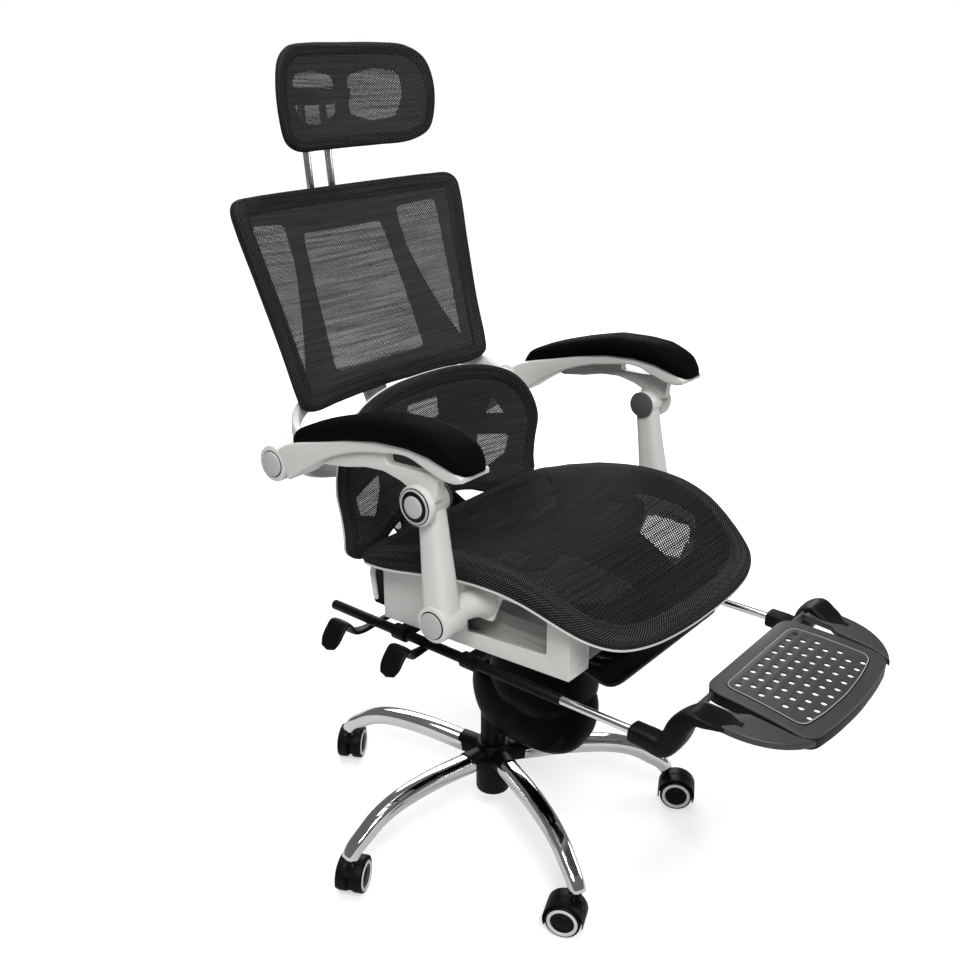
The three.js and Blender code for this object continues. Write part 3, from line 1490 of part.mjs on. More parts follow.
addNode('lumbar_mesh', 'mesh_fabric', lumbarMesh());
addNode('headrest_receiver', 'black_plastic', headrestReceiver());
addPair('headrest_post', 'chrome', headrestPost());
addNode('headrest_bracket', 'black_plastic', headrestBracket());
addNode('headrest_frame', 'black_plastic', headrestFrame());
addNode('headrest_mesh', 'mesh_fabric', headrestMesh());
addPair('arm_post', 'white_plastic', armPost());
addPair('post_foot_cap', 'cap_grey', postFootCap());
addPair('armrest_frame', 'white_plastic', armrestFrame());
addPair('armrest_pad', 'arm_pad_foam', armPad());
addPair('front_pivot_cap', 'cap_grey', frontPivotCap());
addPair('rear_pivot_cap', 'cap_grey', rearPivotCap());

chair.position.set(-standX, -standY, 0);

export default chair;
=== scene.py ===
# Looks for the reclining mesh office chair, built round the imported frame.
# Sizes are in millimetres from the chair's middle plane, its zero of depth and the floor; at() gives metres.
import math

import bpy
import bmesh
import numpy as np
from mathutils import Matrix, Vector


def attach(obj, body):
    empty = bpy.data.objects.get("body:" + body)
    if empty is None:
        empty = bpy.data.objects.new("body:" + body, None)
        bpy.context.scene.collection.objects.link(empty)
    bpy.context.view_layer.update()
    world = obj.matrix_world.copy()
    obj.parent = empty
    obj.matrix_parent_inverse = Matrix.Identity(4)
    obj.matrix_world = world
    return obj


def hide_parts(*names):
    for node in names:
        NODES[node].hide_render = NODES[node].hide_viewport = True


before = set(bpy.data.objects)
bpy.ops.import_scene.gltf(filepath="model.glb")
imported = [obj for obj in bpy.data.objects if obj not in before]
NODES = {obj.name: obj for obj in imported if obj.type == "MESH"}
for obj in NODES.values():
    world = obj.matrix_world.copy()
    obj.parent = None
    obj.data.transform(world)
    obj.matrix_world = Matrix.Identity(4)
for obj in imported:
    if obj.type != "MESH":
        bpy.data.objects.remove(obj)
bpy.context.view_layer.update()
MIDDLE_X, ZERO_Y = 10, 70  # where the chair's own zero lies in the frame


def at(x, y, z):
    return Vector(((x + MIDDLE_X) / 1000, (y + ZERO_Y) / 1000, z / 1000))


ZERO = at(0, 0, 0)
ACROSS, ALONG, UP = (1, 0, 0), (0, 1, 0), (0, 0, 1)


# ---------- materials

GRAIN_DEPTH, WEAVE_DEPTH = 0.0002, 0.0007


def new_material(name, color, rough, metallic=0.0, specular=0.5):
    mat = bpy.data.materials.new(name)
    mat.use_nodes = True
    tree = mat.node_tree
    shader = tree.nodes["Principled BSDF"]
    shader.inputs["Base Color"].default_value = (*color, 1)
    shader.inputs["Roughness"].default_value = rough
    shader.inputs["Metallic"].default_value = metallic
    shader.inputs["Specular IOR Level"].default_value = specular
    return mat, tree, shader


def coords(tree, kind="Object", scale=(1, 1, 1)):
    source = tree.nodes.new("ShaderNodeTexCoord")
    mapping = tree.nodes.new("ShaderNodeMapping")
    mapping.inputs["Scale"].default_value = scale
    tree.links.new(source.outputs[kind], mapping.inputs["Vector"])
    return mapping.outputs["Vector"]


def noise(tree, vector, scale, detail=3.0):
    node = tree.nodes.new("ShaderNodeTexNoise")
    node.inputs["Scale"].default_value = scale
    node.inputs["Detail"].default_value = detail
    tree.links.new(vector, node.inputs["Vector"])
    return node.outputs["Fac"]


def ramp(tree, value, low, high, start=0.3, stop=0.7):
    """Gives low at a value of start and high at a value of stop."""
    node = tree.nodes.new("ShaderNodeMapRange")
    node.inputs["From Min"].default_value = start
    node.inputs["From Max"].default_value = stop
    node.inputs["To Min"].default_value = low
    node.inputs["To Max"].default_value = high
    tree.links.new(value, node.inputs["Value"])
    return node.outputs["Result"]


def tint(tree, value, dark, light):
    node = tree.nodes.new("ShaderNodeMix")
    node.data_type = "RGBA"
    node.inputs["A"].default_value = (*dark, 1)
    node.inputs["B"].default_value = (*light, 1)
    tree.links.new(value, node.inputs["Factor"])
    return node.outputs["Result"]


def math_node(tree, operation, a, b=0.0):
    node = tree.nodes.new("ShaderNodeMath")
    node.operation = operation
    for socket, value in zip(node.inputs, (a, b)):
        if isinstance(value, (int, float)):
            socket.default_value = value
        else:
            tree.links.new(value, socket)
    return node.outputs[0]


def bump(tree, shader, height, strength, distance):
    node = tree.nodes.new("ShaderNodeBump")
    node.inputs["Strength"].default_value = strength
    node.inputs["Distance"].default_value = distance
    tree.links.new(height, node.inputs["Height"])
    tree.links.new(node.outputs["Normal"], shader.inputs["Normal"])


def plastic(name, color, rough, grain=0.25, vary=0.12, specular=0.5, size=900):
    mat, tree, shader = new_material(name, color, rough, specular=specular)
    vector = coords(tree)
    broad = noise(tree, vector, 9)
    fine = noise(tree, vector, size, 2)
    dark = tuple(c * (1 - vary) for c in color)
    light = tuple(min(1, c * (1 + vary * 0.6)) for c in color)
    tree.links.new(tint(tree, ramp(tree, broad, 0, 1), dark, light), shader.inputs["Base Color"])
    tree.links.new(ramp(tree, fine, rough * 0.88, rough * 1.12), shader.inputs["Roughness"])
    bump(tree, shader, fine, grain, GRAIN_DEPTH)
    return mat


def metal(name, color, rough):
    mat, tree, shader = new_material(name, color, rough, metallic=1.0)
    vector = coords(tree)
    smear = noise(tree, vector, 14)
    dark = tuple(c * 0.93 for c in color)
    tree.links.new(ramp(tree, smear, rough * 0.6, rough + 0.05), shader.inputs["Roughness"])
    tree.links.new(tint(tree, ramp(tree, smear, 0, 1), dark, color), shader.inputs["Base Color"])
    return mat


def woven(name, color, thread_highlight, pitch, lit, open_share=0.0, ripple=0.0):
    """A knitted net with rows of small holes. The pitch is in metres along u and v of the panel, lit is the weave
    height above which the thread tops take the painted highlight colour, and open_share is where the weave opens."""
    mat, tree, shader = new_material(name, color, 0.8, specular=0.1)
    vector = coords(tree, "UV", (1 / pitch[0], 1 / pitch[1], 1))
    split = tree.nodes.new("ShaderNodeSeparateXYZ")
    tree.links.new(vector, split.inputs[0])
    turns = [math_node(tree, "MULTIPLY", split.outputs[k], math.tau) for k in (0, 1)]
    weave = math_node(tree, "MULTIPLY", *[math_node(tree, "COSINE", turn) for turn in turns])
    height = math_node(tree, "ADD", math_node(tree, "MULTIPLY", weave, -0.5), 0.5)
    wave = ramp(tree, noise(tree, coords(tree, "UV", (6, 190, 1)), 1.0, 2), 0, 1, 0.35, 0.65)
    shaded = math_node(tree, "SUBTRACT", height, math_node(tree, "MULTIPLY", wave, 0.12))
    # painted highlight: the tops of the threads turn towards the second, lighter colour
    shade = ramp(tree, shaded, 0, 1, lit - 0.06, 0.97)
    tree.links.new(tint(tree, shade, color, thread_highlight), shader.inputs["Base Color"])
    if open_share:
        holes = math_node(tree, "SUBTRACT", weave, math_node(tree, "MULTIPLY", wave, ripple))
        start = open_share - ripple * 0.5
        tree.links.new(ramp(tree, holes, 1, 0, start, start + 0.15), shader.inputs["Alpha"])
    bump(tree, shader, height, 0.5, WEAVE_DEPTH)
    return mat


WHITE = plastic("white_plastic", (0.60, 0.605, 0.58), 0.34, grain=0.12, vary=0.03)
# a pale plastic bright enough to serve as painted light where it is used
PAINTED_LIGHT_PALE = plastic("pale_painted_light", (0.85, 0.85, 0.83), 0.5, grain=0.1, vary=0.03)
BLACK = plastic("black_plastic", (0.0030, 0.0030, 0.0034), 0.42, grain=0.3, specular=0.12)
GLOSS = plastic("gloss_black", (0.0006, 0.0006, 0.0006), 0.35, grain=0.05, specular=0.03)
FRAME_GREY = plastic("frame_grey", (0.075, 0.073, 0.070), 0.5, grain=0.3, specular=0.2)
PAD_GREY = plastic("grey_pad", (0.026, 0.026, 0.027), 0.46, grain=0.3, specular=0.6)
# a light grey for the painted highlight line along the footrest panel's raised edge
EDGE_HIGHLIGHT_GREY = plastic("pad_line", (0.30, 0.30, 0.30), 0.4, grain=0.1)
FOAM = plastic("arm_pad_foam", (0.0008, 0.0008, 0.0008), 0.8, grain=0.4, specular=0.05, size=600)
CAP = plastic("cap_grey", (0.46, 0.46, 0.45), 0.35, grain=0.1)
DARK_CAP = plastic("inner_cap", (0.075, 0.076, 0.075), 0.25, grain=0.1)
RING_GREY = plastic("wheel_ring", (0.66, 0.66, 0.65), 0.35, grain=0.1)
CHROME = metal("chrome", (0.80, 0.81, 0.83), 0.07)
STEEL = metal("steel", (0.45, 0.46, 0.48), 0.3)
POST = metal("post_chrome", (0.88, 0.89, 0.90), 0.26)
# the second colour of each net is a painted highlight on its thread tops
NET = woven("net", (0.014, 0.0137, 0.0132), (0.13, 0.127, 0.122), (0.0046, 0.0038), 0.66, 0.70, 0.2)
SEAT_NET = woven("seat_net", (0.0022, 0.0022, 0.0022), (0.10, 0.098, 0.095), (0.0052, 0.0068), 0.80, 0.54, 0.25)
KNIT = woven("knit_band", (0.003, 0.003, 0.003), (0.17, 0.166, 0.16), (0.0050, 0.0044), 0.75)

# ---------- mesh helpers


SPLINE_STEPS = 12
TUBE_SIDES = 32
BEVEL_STEPS = 3
NET_RINGS = 22
CUT_STEP = 14


def linked(name, points, faces, uvs=None):
    """A mesh object in the scene, with its faces turned outward."""
    mesh = bpy.data.meshes.new(name)
    mesh.from_pydata([tuple(p) for p in points], [], faces)
    if uvs is not None:
        layer = mesh.uv_layers.new(name="weave")
        for loop in mesh.loops:
            layer.data[loop.index].uv = uvs[loop.vertex_index]
    bm = bmesh.new()
    bm.from_mesh(mesh)
    bmesh.ops.recalc_face_normals(bm, faces=bm.faces)
    bm.to_mesh(mesh)
    bm.free()
    mesh.update()
    obj = bpy.data.objects.new(name, mesh)
    bpy.context.scene.collection.objects.link(obj)
    return obj


def make(name, points, faces, body, material, replaces, slot, sharp=38, uvs=None):
    """One visible piece. Edges sharper than that many degrees stay crisp."""
    obj = linked(name, points, faces, uvs)
    mesh = obj.data
    mesh.materials.append(material)
    for polygon in mesh.polygons:
        polygon.use_smooth = True
    mesh.set_sharp_from_angle(angle=math.radians(sharp))
    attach(obj, body)
    if replaces:
        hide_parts(*replaces)
    return obj


def stand_in(node, part, body, material, slot, sharp=38):
    """The visible form of one CAD node."""
    return make(f"{node}_look", *part, body, material, [node], slot, sharp)


def skin(rings, looped=False):
    """Rings of points joined into a solid, with both ends closed or the last ring joined to the first."""
    count = len(rings[0])
    points = [p for ring in rings for p in ring]
    faces = []
    bands = len(rings) if looped else len(rings) - 1
    for band in range(bands):
        following = (band + 1) % len(rings)
        for k in range(count):
            k2 = (k + 1) % count
            here, there = band * count, following * count
            faces.append((here + k, here + k2, there + k2, there + k))
    if not looped:
        faces.append(tuple(range(count))[::-1])
        faces.append(tuple((len(rings) - 1) * count + k for k in range(count)))
    return points, faces


def merged(*parts):
    points, faces = [], []
    for some_points, some_faces in parts:
        shift = len(points)
        points += list(some_points)
        faces += [tuple(i + shift for i in face) for face in some_faces]
    return points, faces


def flipped(part):
    """The part mirrored in the chair's middle plane."""
    points, faces = part
    width = 2 * MIDDLE_X / 1000
    return [Vector((width - p[0], p[1], p[2])) for p in points], [tuple(reversed(face)) for face in faces]


def sided(part, side):
    return part if side > 0 else flipped(part)


def between(a, b, start, stop, t):
    return (stop - t) / (stop - start) * a + (t - start) / (stop - start) * b


def spline(rows, count, closed=False):
    """Centripetal curve through rows of numbers, at evenly spaced steps."""
    rows = np.array(rows, float)
    if closed:
        ext = np.vstack([rows[-1:], rows, rows[:2]])
    else:
        ext = np.vstack([2 * rows[:1] - rows[1:2], rows, 2 * rows[-1:] - rows[-2:-1]])
    out = []
    for i in range(1, len(ext) - 2):
        p0, p1, p2, p3 = ext[i - 1 : i + 3]
        gap = [max(np.linalg.norm((b - a)[:3]), 1e-6) ** 0.5 for a, b in ((p0, p1), (p1, p2), (p2, p3))]
        t0, t1 = 0, gap[0]
        t2, t3 = t1 + gap[1], t1 + gap[1] + gap[2]
        for t in np.linspace(t1, t2, SPLINE_STEPS, endpoint=False):
            a1, a2, a3 = between(p0, p1, t0, t1, t), between(p1, p2, t1, t2, t), between(p2, p3, t2, t3, t)
            out.append(between(between(a1, a2, t0, t2, t), between(a2, a3, t1, t3, t), t1, t2, t))
    out = np.array(out if closed else out + [rows[-1]])
    loop = np.vstack([out, out[:1]]) if closed else out
    steps = np.concatenate([[0], np.cumsum(np.linalg.norm(np.diff(loop, axis=0)[:, :3], axis=1))])
    targets = np.linspace(0, steps[-1], count + 1)[:-1] if closed else np.linspace(0, steps[-1], count)
    return np.array([[np.interp(t, steps, loop[:, c]) for c in range(loop.shape[1])] for t in targets])


def oval(centre, across, up, half_across, half_up, sides, square=1.0):
    """A ring in metres: an ellipse at square 1, nearer to a rectangle the smaller square is."""
    ring = []
    for k in range(sides):
        angle = (k + 0.5) / sides * math.tau
        c, s = math.cos(angle), math.sin(angle)
        c = math.copysign(abs(c) ** square, c) * half_across
        s = math.copysign(abs(s) ** square, s) * half_up
        ring.append(centre + across * c + up * s)
    return ring


def bar(stops, sides, square, across, count, cap=0.0):
    """A smooth bar through stops of x, y, z, half width and thickness. cap rounds both ends off over that length."""
    rows = spline(stops, count)
    across = Vector(across)
    rings = []
    total = np.concatenate([[0], np.cumsum(np.linalg.norm(np.diff(rows[:, :3], axis=0), axis=1))])
    for k, row in enumerate(rows):
        before, after = rows[max(k - 1, 0)], rows[min(k + 1, count - 1)]
        along = Vector(after[:3] - before[:3]).normalized()
        up = along.cross(across).normalized()
        side = up.cross(along).normalized()
        size = 1.0
        if cap:
            edge = min(total[k], total[-1] - total[k])
            size = math.sqrt(max(0.02, 1 - max(0.0, 1 - edge / cap) ** 2))
        rings.append(oval(at(*row[:3]), side, up, row[3] / 1000 * size, row[4] / 2000 * size, sides, square))
    return skin(rings)


def turned(profile, centre, axis, sides=48):
    """A solid of revolution: profile of (radius, distance along the axis), in millimetres."""
    axis = Vector(axis).normalized()
    across = axis.orthogonal().normalized()
    up = axis.cross(across)
    base = at(*centre)
    return skin([oval(base + axis * (h / 1000), across, up, r / 1000, r / 1000, sides) for r, h in profile])


def disc(centre, axis, radius, length, edge, sides=48):
    """A rod with edges rounded over that many millimetres."""
    e = min(edge, length / 2.01, radius)
    profile = [(radius - e, 0), (radius - e * 0.3, e * 0.3), (radius, e), (radius, length - e),
               (radius - e * 0.3, length - e * 0.3), (radius - e, length)]
    return turned(profile, centre, axis, sides)


def cross_disc(x1, x2, y, z, radius, edge=1.5):
    return disc((x1, y, z), ACROSS, radius, x2 - x1, edge)


def tube(start, end, radius, edge):
    a, b = Vector(start), Vector(end)
    return disc(start, b - a, radius, (b - a).length, edge, TUBE_SIDES)


def plate(loops, low, high, bevel, plane="side"):
    """An outline with holes, drawn in depth and height (side) or width and depth (flat), with rounded edges."""
    curve = bpy.data.curves.new("outline", "CURVE")
    curve.dimensions = "2D"
    curve.fill_mode = "BOTH"
    curve.extrude = (high - low) / 2000 - bevel / 1000
    curve.bevel_depth = bevel / 1000
    curve.bevel_resolution = BEVEL_STEPS
    curve.offset = -bevel / 1000
    for loop in loops:
        piece = curve.splines.new("POLY")
        piece.points.add(len(loop) - 1)
        piece.use_cyclic_u = True
        for point, (a, b) in zip(piece.points, loop):
            point.co = (a / 1000, b / 1000, 0, 1)
    holder = bpy.data.objects.new("outline", curve)
    bpy.context.scene.collection.objects.link(holder)
    bpy.context.view_layer.update()
    mesh = bpy.data.meshes.new_from_object(holder.evaluated_get(bpy.context.evaluated_depsgraph_get()))
    bpy.data.objects.remove(holder)
    middle = (low + high) / 2
    bm = bmesh.new()
    bm.from_mesh(mesh)
    bmesh.ops.remove_doubles(bm, verts=bm.verts, dist=1e-6)
    points = []
    for vertex in bm.verts:
        a, b, c = (v * 1000 for v in vertex.co)
        points.append(at(middle + c, a, b) if plane == "side" else at(a, b, middle + c))
    bm.verts.index_update()
    faces = [tuple(v.index for v in face.verts) for face in bm.faces]
    bm.free()
    bpy.data.meshes.remove(mesh)
    return points, faces


def scaled(shares, half, high):
    return [(a * half, b * high) for a, b in shares]


def mirror(points):
    return [(-a, b) for a, b in points]


def both_sides(half):
    return half + mirror(half[::-1])


def inset(outline, distance):
    out = np.array(outline, float)
    before, after = np.roll(out, 1, axis=0), np.roll(out, -1, axis=0)
    area = np.sum(out[:, 0] * after[:, 1] - after[:, 0] * out[:, 1])
    along = after - before
    along /= np.linalg.norm(along, axis=1)[:, None]
    return out + np.sign(area) * distance * np.stack([-along[:, 1], along[:, 0]], axis=1)


def rounded(corners, radius, steps=5):
    out = []
    count = len(corners)
    for k, corner in enumerate(corners):
        here = np.array(corner, float)
        before = np.array(corners[k - 1], float) - here
        after = np.array(corners[(k + 1) % count], float) - here
        start = here + before / np.linalg.norm(before) * radius
        end = here + after / np.linalg.norm(after) * radius
        for t in np.linspace(0, 1, steps + 1):
            out.append((1 - t) ** 2 * start + 2 * t * (1 - t) * here + t * t * end)
    return out


def cuts(start, stop, step=CUT_STEP):
    return list(np.arange(start, stop, step))


def ring_body(outline, sections, place):
    """A solid round an outline; sections holds (distance in from the outline, lift off the surface)."""
    rings = []
    for distance, lift in sections:
        rings.append([place(a, b, lift) for a, b in inset(outline, distance)])
    return skin(rings, looped=True)


def ring_uvs(outline, sections):
    steps = np.linalg.norm(np.roll(outline, -1, axis=0) - outline, axis=1)
    along = np.concatenate([[0], np.cumsum(steps)[:-1]])
    path = np.array(sections, float)
    across = np.concatenate([[0], np.cumsum(np.linalg.norm(np.diff(path, axis=0), axis=1))])
    return [(u / 1000, v / 1000) for v in across for u in along]


def soft_band(name, outline, sections, place, body):
    points, faces = ring_body(outline, sections, place)
    return make(name, points, faces, body, KNIT, (), "mesh_fabric", 60, ring_uvs(outline, sections))


def net(name, outline, place, band, sag, start, body, material):
    """A net stretched inside its hem from start millimetres in, sagging in the middle."""
    inner = inset(outline, start)
    count = len(inner)
    centre = np.mean(inner, axis=0)
    points, uvs = [], []
    for share in [1 - k / NET_RINGS for k in range(NET_RINGS)]:
        for a, b in centre + (inner - centre) * share:
            points.append(place(a, b, band - sag * (1 - share * share) ** 1.6))
            uvs.append((a / 1000, b / 1000))
    points.append(place(*centre, band - sag))
    uvs.append(tuple(centre / 1000))
    faces = []
    for ring in range(NET_RINGS - 1):
        for k in range(count):
            k2 = (k + 1) % count
            a, b = ring * count, (ring + 1) * count
            faces.append((a + k, a + k2, b + k2, b + k))
    last = (NET_RINGS - 1) * count
    faces += [(last + k, last + (k + 1) % count, last + count) for k in range(count)]
    obj = make(name, points, faces, body, material, (), "mesh_fabric", 180, uvs)
    return obj


def turned_about(part, centre, degrees):
    """A part drawn round the chair's zero point, turned about the vertical and set down at centre."""
    points, faces = part
    turn = Matrix.Rotation(math.radians(degrees), 3, "Z")
    home = at(*centre)
    return [turn @ (Vector(p) - ZERO) + home for p in points], faces


def united(name, *parts):
    """The parts as one closed skin."""
    holders = []
    for index, (points, faces) in enumerate(parts):
        holders.append(linked(f"{name}_{index}", points, faces))
    base = holders[0]
    for other in holders[1:]:
        modifier = base.modifiers.new("join", "BOOLEAN")
        modifier.operation = "UNION"
        modifier.solver = "EXACT"
        modifier.object = other
    bpy.context.view_layer.update()
    mesh = bpy.data.meshes.new_from_object(base.evaluated_get(bpy.context.evaluated_depsgraph_get()))
    points = [v.co.copy() for v in mesh.vertices]
    faces = [tuple(p.vertices) for p in mesh.polygons]
    for holder in holders:
        data = holder.data
        bpy.data.objects.remove(holder)
        bpy.data.meshes.remove(data)
    bpy.data.meshes.remove(mesh)
    return points, faces


def bent(loops, low, high, bevel, place, cuts_a, cuts_b=()):
    """A flat plate cut into strips and laid on a curved surface."""
    points, faces = plate(loops, low, high, bevel, "flat")
    bm = bmesh.new()
    made = [bm.verts.new(tuple((p - ZERO) * 1000)) for p in points]
    for face in faces:
        bm.faces.new([made[i] for i in face])
    for axis, places in ((ACROSS, cuts_a), (ALONG, cuts_b)):
        for cut in places:
            where = tuple(cut * c for c in axis)
            everything = bm.verts[:] + bm.edges[:] + bm.faces[:]
            bmesh.ops.bisect_plane(bm, geom=everything, plane_co=where, plane_no=axis, dist=1e-4)
    bm.verts.index_update()
    out = [place(*v.co) for v in bm.verts]
    faces = [tuple(v.index for v in face.verts) for face in bm.faces]
    bm.free()
    return out, faces


def hollow_place(y, z, half, hollow, lean):
    """A surface hollow by that depth across its width and leaning back by that many degrees."""
    s, c = math.sin(math.radians(lean)), math.cos(math.radians(lean))

    def place(a, b, lift):
        deep = hollow * (1 - (a / half) ** 2) - lift
        return at(a, y + b * s + deep * c, z + b * c - deep * s)

    return place


def outline(half, count):
    """A closed curve through half an outline and its mirror image, which share the first and the last point."""
    return spline(half + mirror(half[-2:0:-1]), count, closed=True)


# ---------- base

COLUMN = (0, 45)
LEG_REACH, LEG_TOP, LEG_HALF, LEG_THICK = 320, 140, 17.5, 33
leg_path = [(0.15, 0.96, 1), (0.45, 1, 0.97), (0.68, 0.96, 0.91), (0.81, 0.865, 0.86),
            (0.89, 0.745, 0.82), (0.96, 0.63, 0.77), (1.0, 0.5, 0.74)]
leg_angles = [27.2 + 72 * k for k in range(5)]
caster_turns = [120, 30, 25, 112, -62]
TRAIL, WHEEL = 20, 29
HOOD_OUTER, HOOD_INNER = 33, 31
HOOD_START, HOOD_STOP = -0.06, 0.53
WHEEL_GAP = 5.1

hub_arm = bar([(22, 0, 133, 17.5, 37), (44, 0, 135.5, 17.3, 36.5), (64, 0, 136.5, 17, 36)], 36, 0.75, ALONG, 10)
hub_parts = [disc((0, 0, 60), UP, 30, 98, 3)] + [turned_about(hub_arm, (0, 0, 0), angle) for angle in leg_angles]
hub = turned_about(united("hub", *hub_parts), (*COLUMN, 0), 0)
make("hub", *hub, "base", BLACK, ["base_hub"], "black_plastic", 45)
make("gas_tube", *tube((*COLUMN, 56), (*COLUMN, 385), 22, 1.5), "base", BLACK, ["gas_tube"], "steel")
make("gas_piston", *tube((*COLUMN, 300), (*COLUMN, 445.7), 14, 1), "lift", CHROME, ["gas_piston"], "chrome")


def hood_arc(radius, start, stop):
    turns = [math.tau * share for share in np.linspace(start, stop, 44)]
    return [(TRAIL + radius * math.cos(turn), WHEEL + radius * math.sin(turn)) for turn in turns]


def caster_hood():
    outer = hood_arc(HOOD_OUTER, HOOD_START, HOOD_STOP)
    shell = plate([outer + hood_arc(HOOD_INNER, HOOD_STOP, HOOD_START)], -21, 21, 0.9)
    web = plate([outer], -4.5, 4.5, 0.4)
    neck = turned([(9.5, 22), (9.5, 58), (8.5, 59.6), (5.4, 60), (5.4, 77), (4.6, 78)], (0, 0, 0), UP)
    return merged(shell, web, neck)


def caster_wheel(side):
    profile = [(3, 0), (27.5, 0), (28.6, 1), (29, 3), (29, 14), (28.4, 16.4), (26.8, 17.8), (25.4, 18),
               (25, 16.6), (19.4, 16.6), (18.6, 17.6), (12, 17), (11, 18.2), (9, 18.8), (3, 18.8)]
    return turned(profile, (side * WHEEL_GAP, TRAIL, WHEEL), (side, 0, 0), 64)


def wheel_ring(side):
    profile = [(19.4, 16.4), (19.6, 18), (20.4, 18.9), (23.4, 19.2), (24.6, 18.8), (25.2, 17.4), (25.2, 16.2)]
    return turned(profile, (side * WHEEL_GAP, TRAIL, WHEEL), (side, 0, 0), 64)


leg = bar([(LEG_REACH * r, 0, LEG_TOP * z, LEG_HALF * t, LEG_THICK * t) for r, z, t in leg_path],
          40, 0.72, ALONG, 60, 7)
hood = caster_hood()
wheels = merged(caster_wheel(1), caster_wheel(-1), cross_disc(-8, 8, TRAIL, WHEEL, 3.4))
rings = merged(wheel_ring(1), wheel_ring(-1))
for k, angle in enumerate(leg_angles):
    make(f"leg_{k + 1}", *turned_about(leg, (*COLUMN, 0), angle), "base", CHROME, [f"base_leg_{k + 1}"], "chrome", 60)
    turn = math.radians(angle)
    tip = (LEG_REACH * math.cos(turn), COLUMN[1] + LEG_REACH * math.sin(turn), 0)
    facing = caster_turns[k] - 90
    stand_in(f"caster_hood_{k + 1}", turned_about(hood, tip, facing), f"caster_{k + 1}", BLACK, "black_plastic")
    make(f"wheels_{k + 1}_look", *turned_about(wheels, tip, facing), f"wheels_{k + 1}", BLACK,
         [f"caster_wheels_{k + 1}"], "wheel_black")
    make(f"wheel_rings_{k + 1}", *turned_about(rings, tip, facing), f"wheels_{k + 1}", RING_GREY, (), "cap_grey")

# ---------- mechanism, cover and levers


def stack(levels, bottom, top, front, rear, half):
    """A rounded box whose size changes with its height, by levels of (share of the height, share of the size)."""
    rings = []
    for size, height, _ in spline([[size, height, 0] for height, size in levels], 26):
        centre = at(0, (front + rear) / 2, bottom + (top - bottom) * height)
        rings.append(oval(centre, Vector(ACROSS), Vector(ALONG), half / 1000 * size,
                          (rear - front) / 2000 * size, 72, 0.75))
    return skin(rings)


bowl_levels = [[0, 0.36], [0.04, 0.58], [0.16, 0.8], [0.38, 0.94], [0.65, 1], [0.86, 0.97], [1, 0.84]]
box_levels = [[0, 0.84], [0.2, 1], [0.6, 1], [1, 1]]
cover = merged(stack(bowl_levels, 200, 330, -160, 74, 60), stack(box_levels, 285, 445.7, -152, 28, 70),
               tube((*COLUMN, 318), (*COLUMN, 445.7), 25.7, 1))
stand_in("mechanism_cover", cover, "seat", GLOSS, "gloss_black", 40)

LEVER_X, LEVER_Z = -88, 426
lever_stops = [(LEVER_X, LEVER_Z, 6, 9, 0), (-176, LEVER_Z, 7, 8, 0), (-205, 427, 10, 8, 0.1), (-223, 433, 14, 9, 0.5),
               (-233, 447, 18, 9, 1), (-243, 455, 20, 9, 1), (-254, 447, 20, 9, 1), (-266, 432, 19, 8, 1),
               (-275, 420, 12, 6, 1)]
for name, y, shift in (("height_lever", 40, -6), ("tilt_lever", 156, 6)):
    stops = [(x, y + shift * s, z, half, thick) for x, z, half, thick, s in lever_stops]
    knuckle, pin = [tube((LEVER_X, y - reach, LEVER_Z), (LEVER_X, y + reach, LEVER_Z), radius, edge)
                    for reach, radius, edge in ((7, 7, 1), (12, 3, 0.4))]
    lever = merged(bar(stops, 32, 0.8, ALONG, 56, 3), knuckle, pin)
    stand_in(name, lever, name, BLACK, "gloss_black", 50)

# ---------- seat

FOOT_PIVOT, FRONT_PIVOT, REAR_PIVOT = (-90, 565), (-66, 737), (218, 730)
SEAT_HALF, SEAT_REAR, SEAT_FRONT = 245, 132, -352
seat_shares = [[0, 0], [0.5, 0], [0.83, 0.005], [0.945, 0.033], [0.975, 0.1], [0.99, 0.28], [1, 0.5], [0.99, 0.66],
               [0.95, 0.78], [0.88, 0.865], [0.77, 0.93], [0.59, 0.975], [0.34, 1], [0, 1.008]]
SEAT_LENGTH = SEAT_REAR - SEAT_FRONT
REAR_Z, CREST_Z, CREST_Y, FALL = 572, 610, -135, 60
SHELL_REAR, SHELL_FRONT = 106, -246


def on_seat(shares):
    return [(x * SEAT_HALF, SEAT_REAR - y * SEAT_LENGTH) for x, y in shares]


seat_outline = outline(on_seat(seat_shares), 200)


def ease(share):
    return (1 - math.cos(math.pi * min(max(share, 0), 1))) / 2


def rim_height(y):
    """The seat's rim rises from the rear to a crest and falls to the front edge."""
    if y > CREST_Y:
        return REAR_Z + (CREST_Z - REAR_Z) * ease((SEAT_REAR - y) / (SEAT_REAR - CREST_Y))
    return CREST_Z - FALL * ease(((CREST_Y - y) / (CREST_Y - SEAT_FRONT)) ** 1.2)


def seat_place(x, y, lift):
    return at(x, y, rim_height(y) + lift)


border_swells = [(0, 0.5), (0.066, 0.75), (0.149, 1.1), (0.27, 1.3), (0.4, 1.2), (0.58, 1), (0.727, 0.85), (0.83, 0.6),
                 (0.913, 0.5), (1, 0.5)]


def border_place(x, y, lift):
    swell = np.interp((SEAT_REAR - y) / SEAT_LENGTH, *zip(*border_swells))
    return seat_place(x, y, lift + max(lift - 1.5, 0) * (swell - 1))


FLARE, FLARE_DROP, FLARE_TOP, SHELL_WALL = 52, 16, 1.5, 4
SEAM, RIM_RING, FLARE_LIP = 4.6, 34.6, 51.4


def flare_lift(distance):
    return FLARE_TOP - FLARE_DROP * distance / FLARE


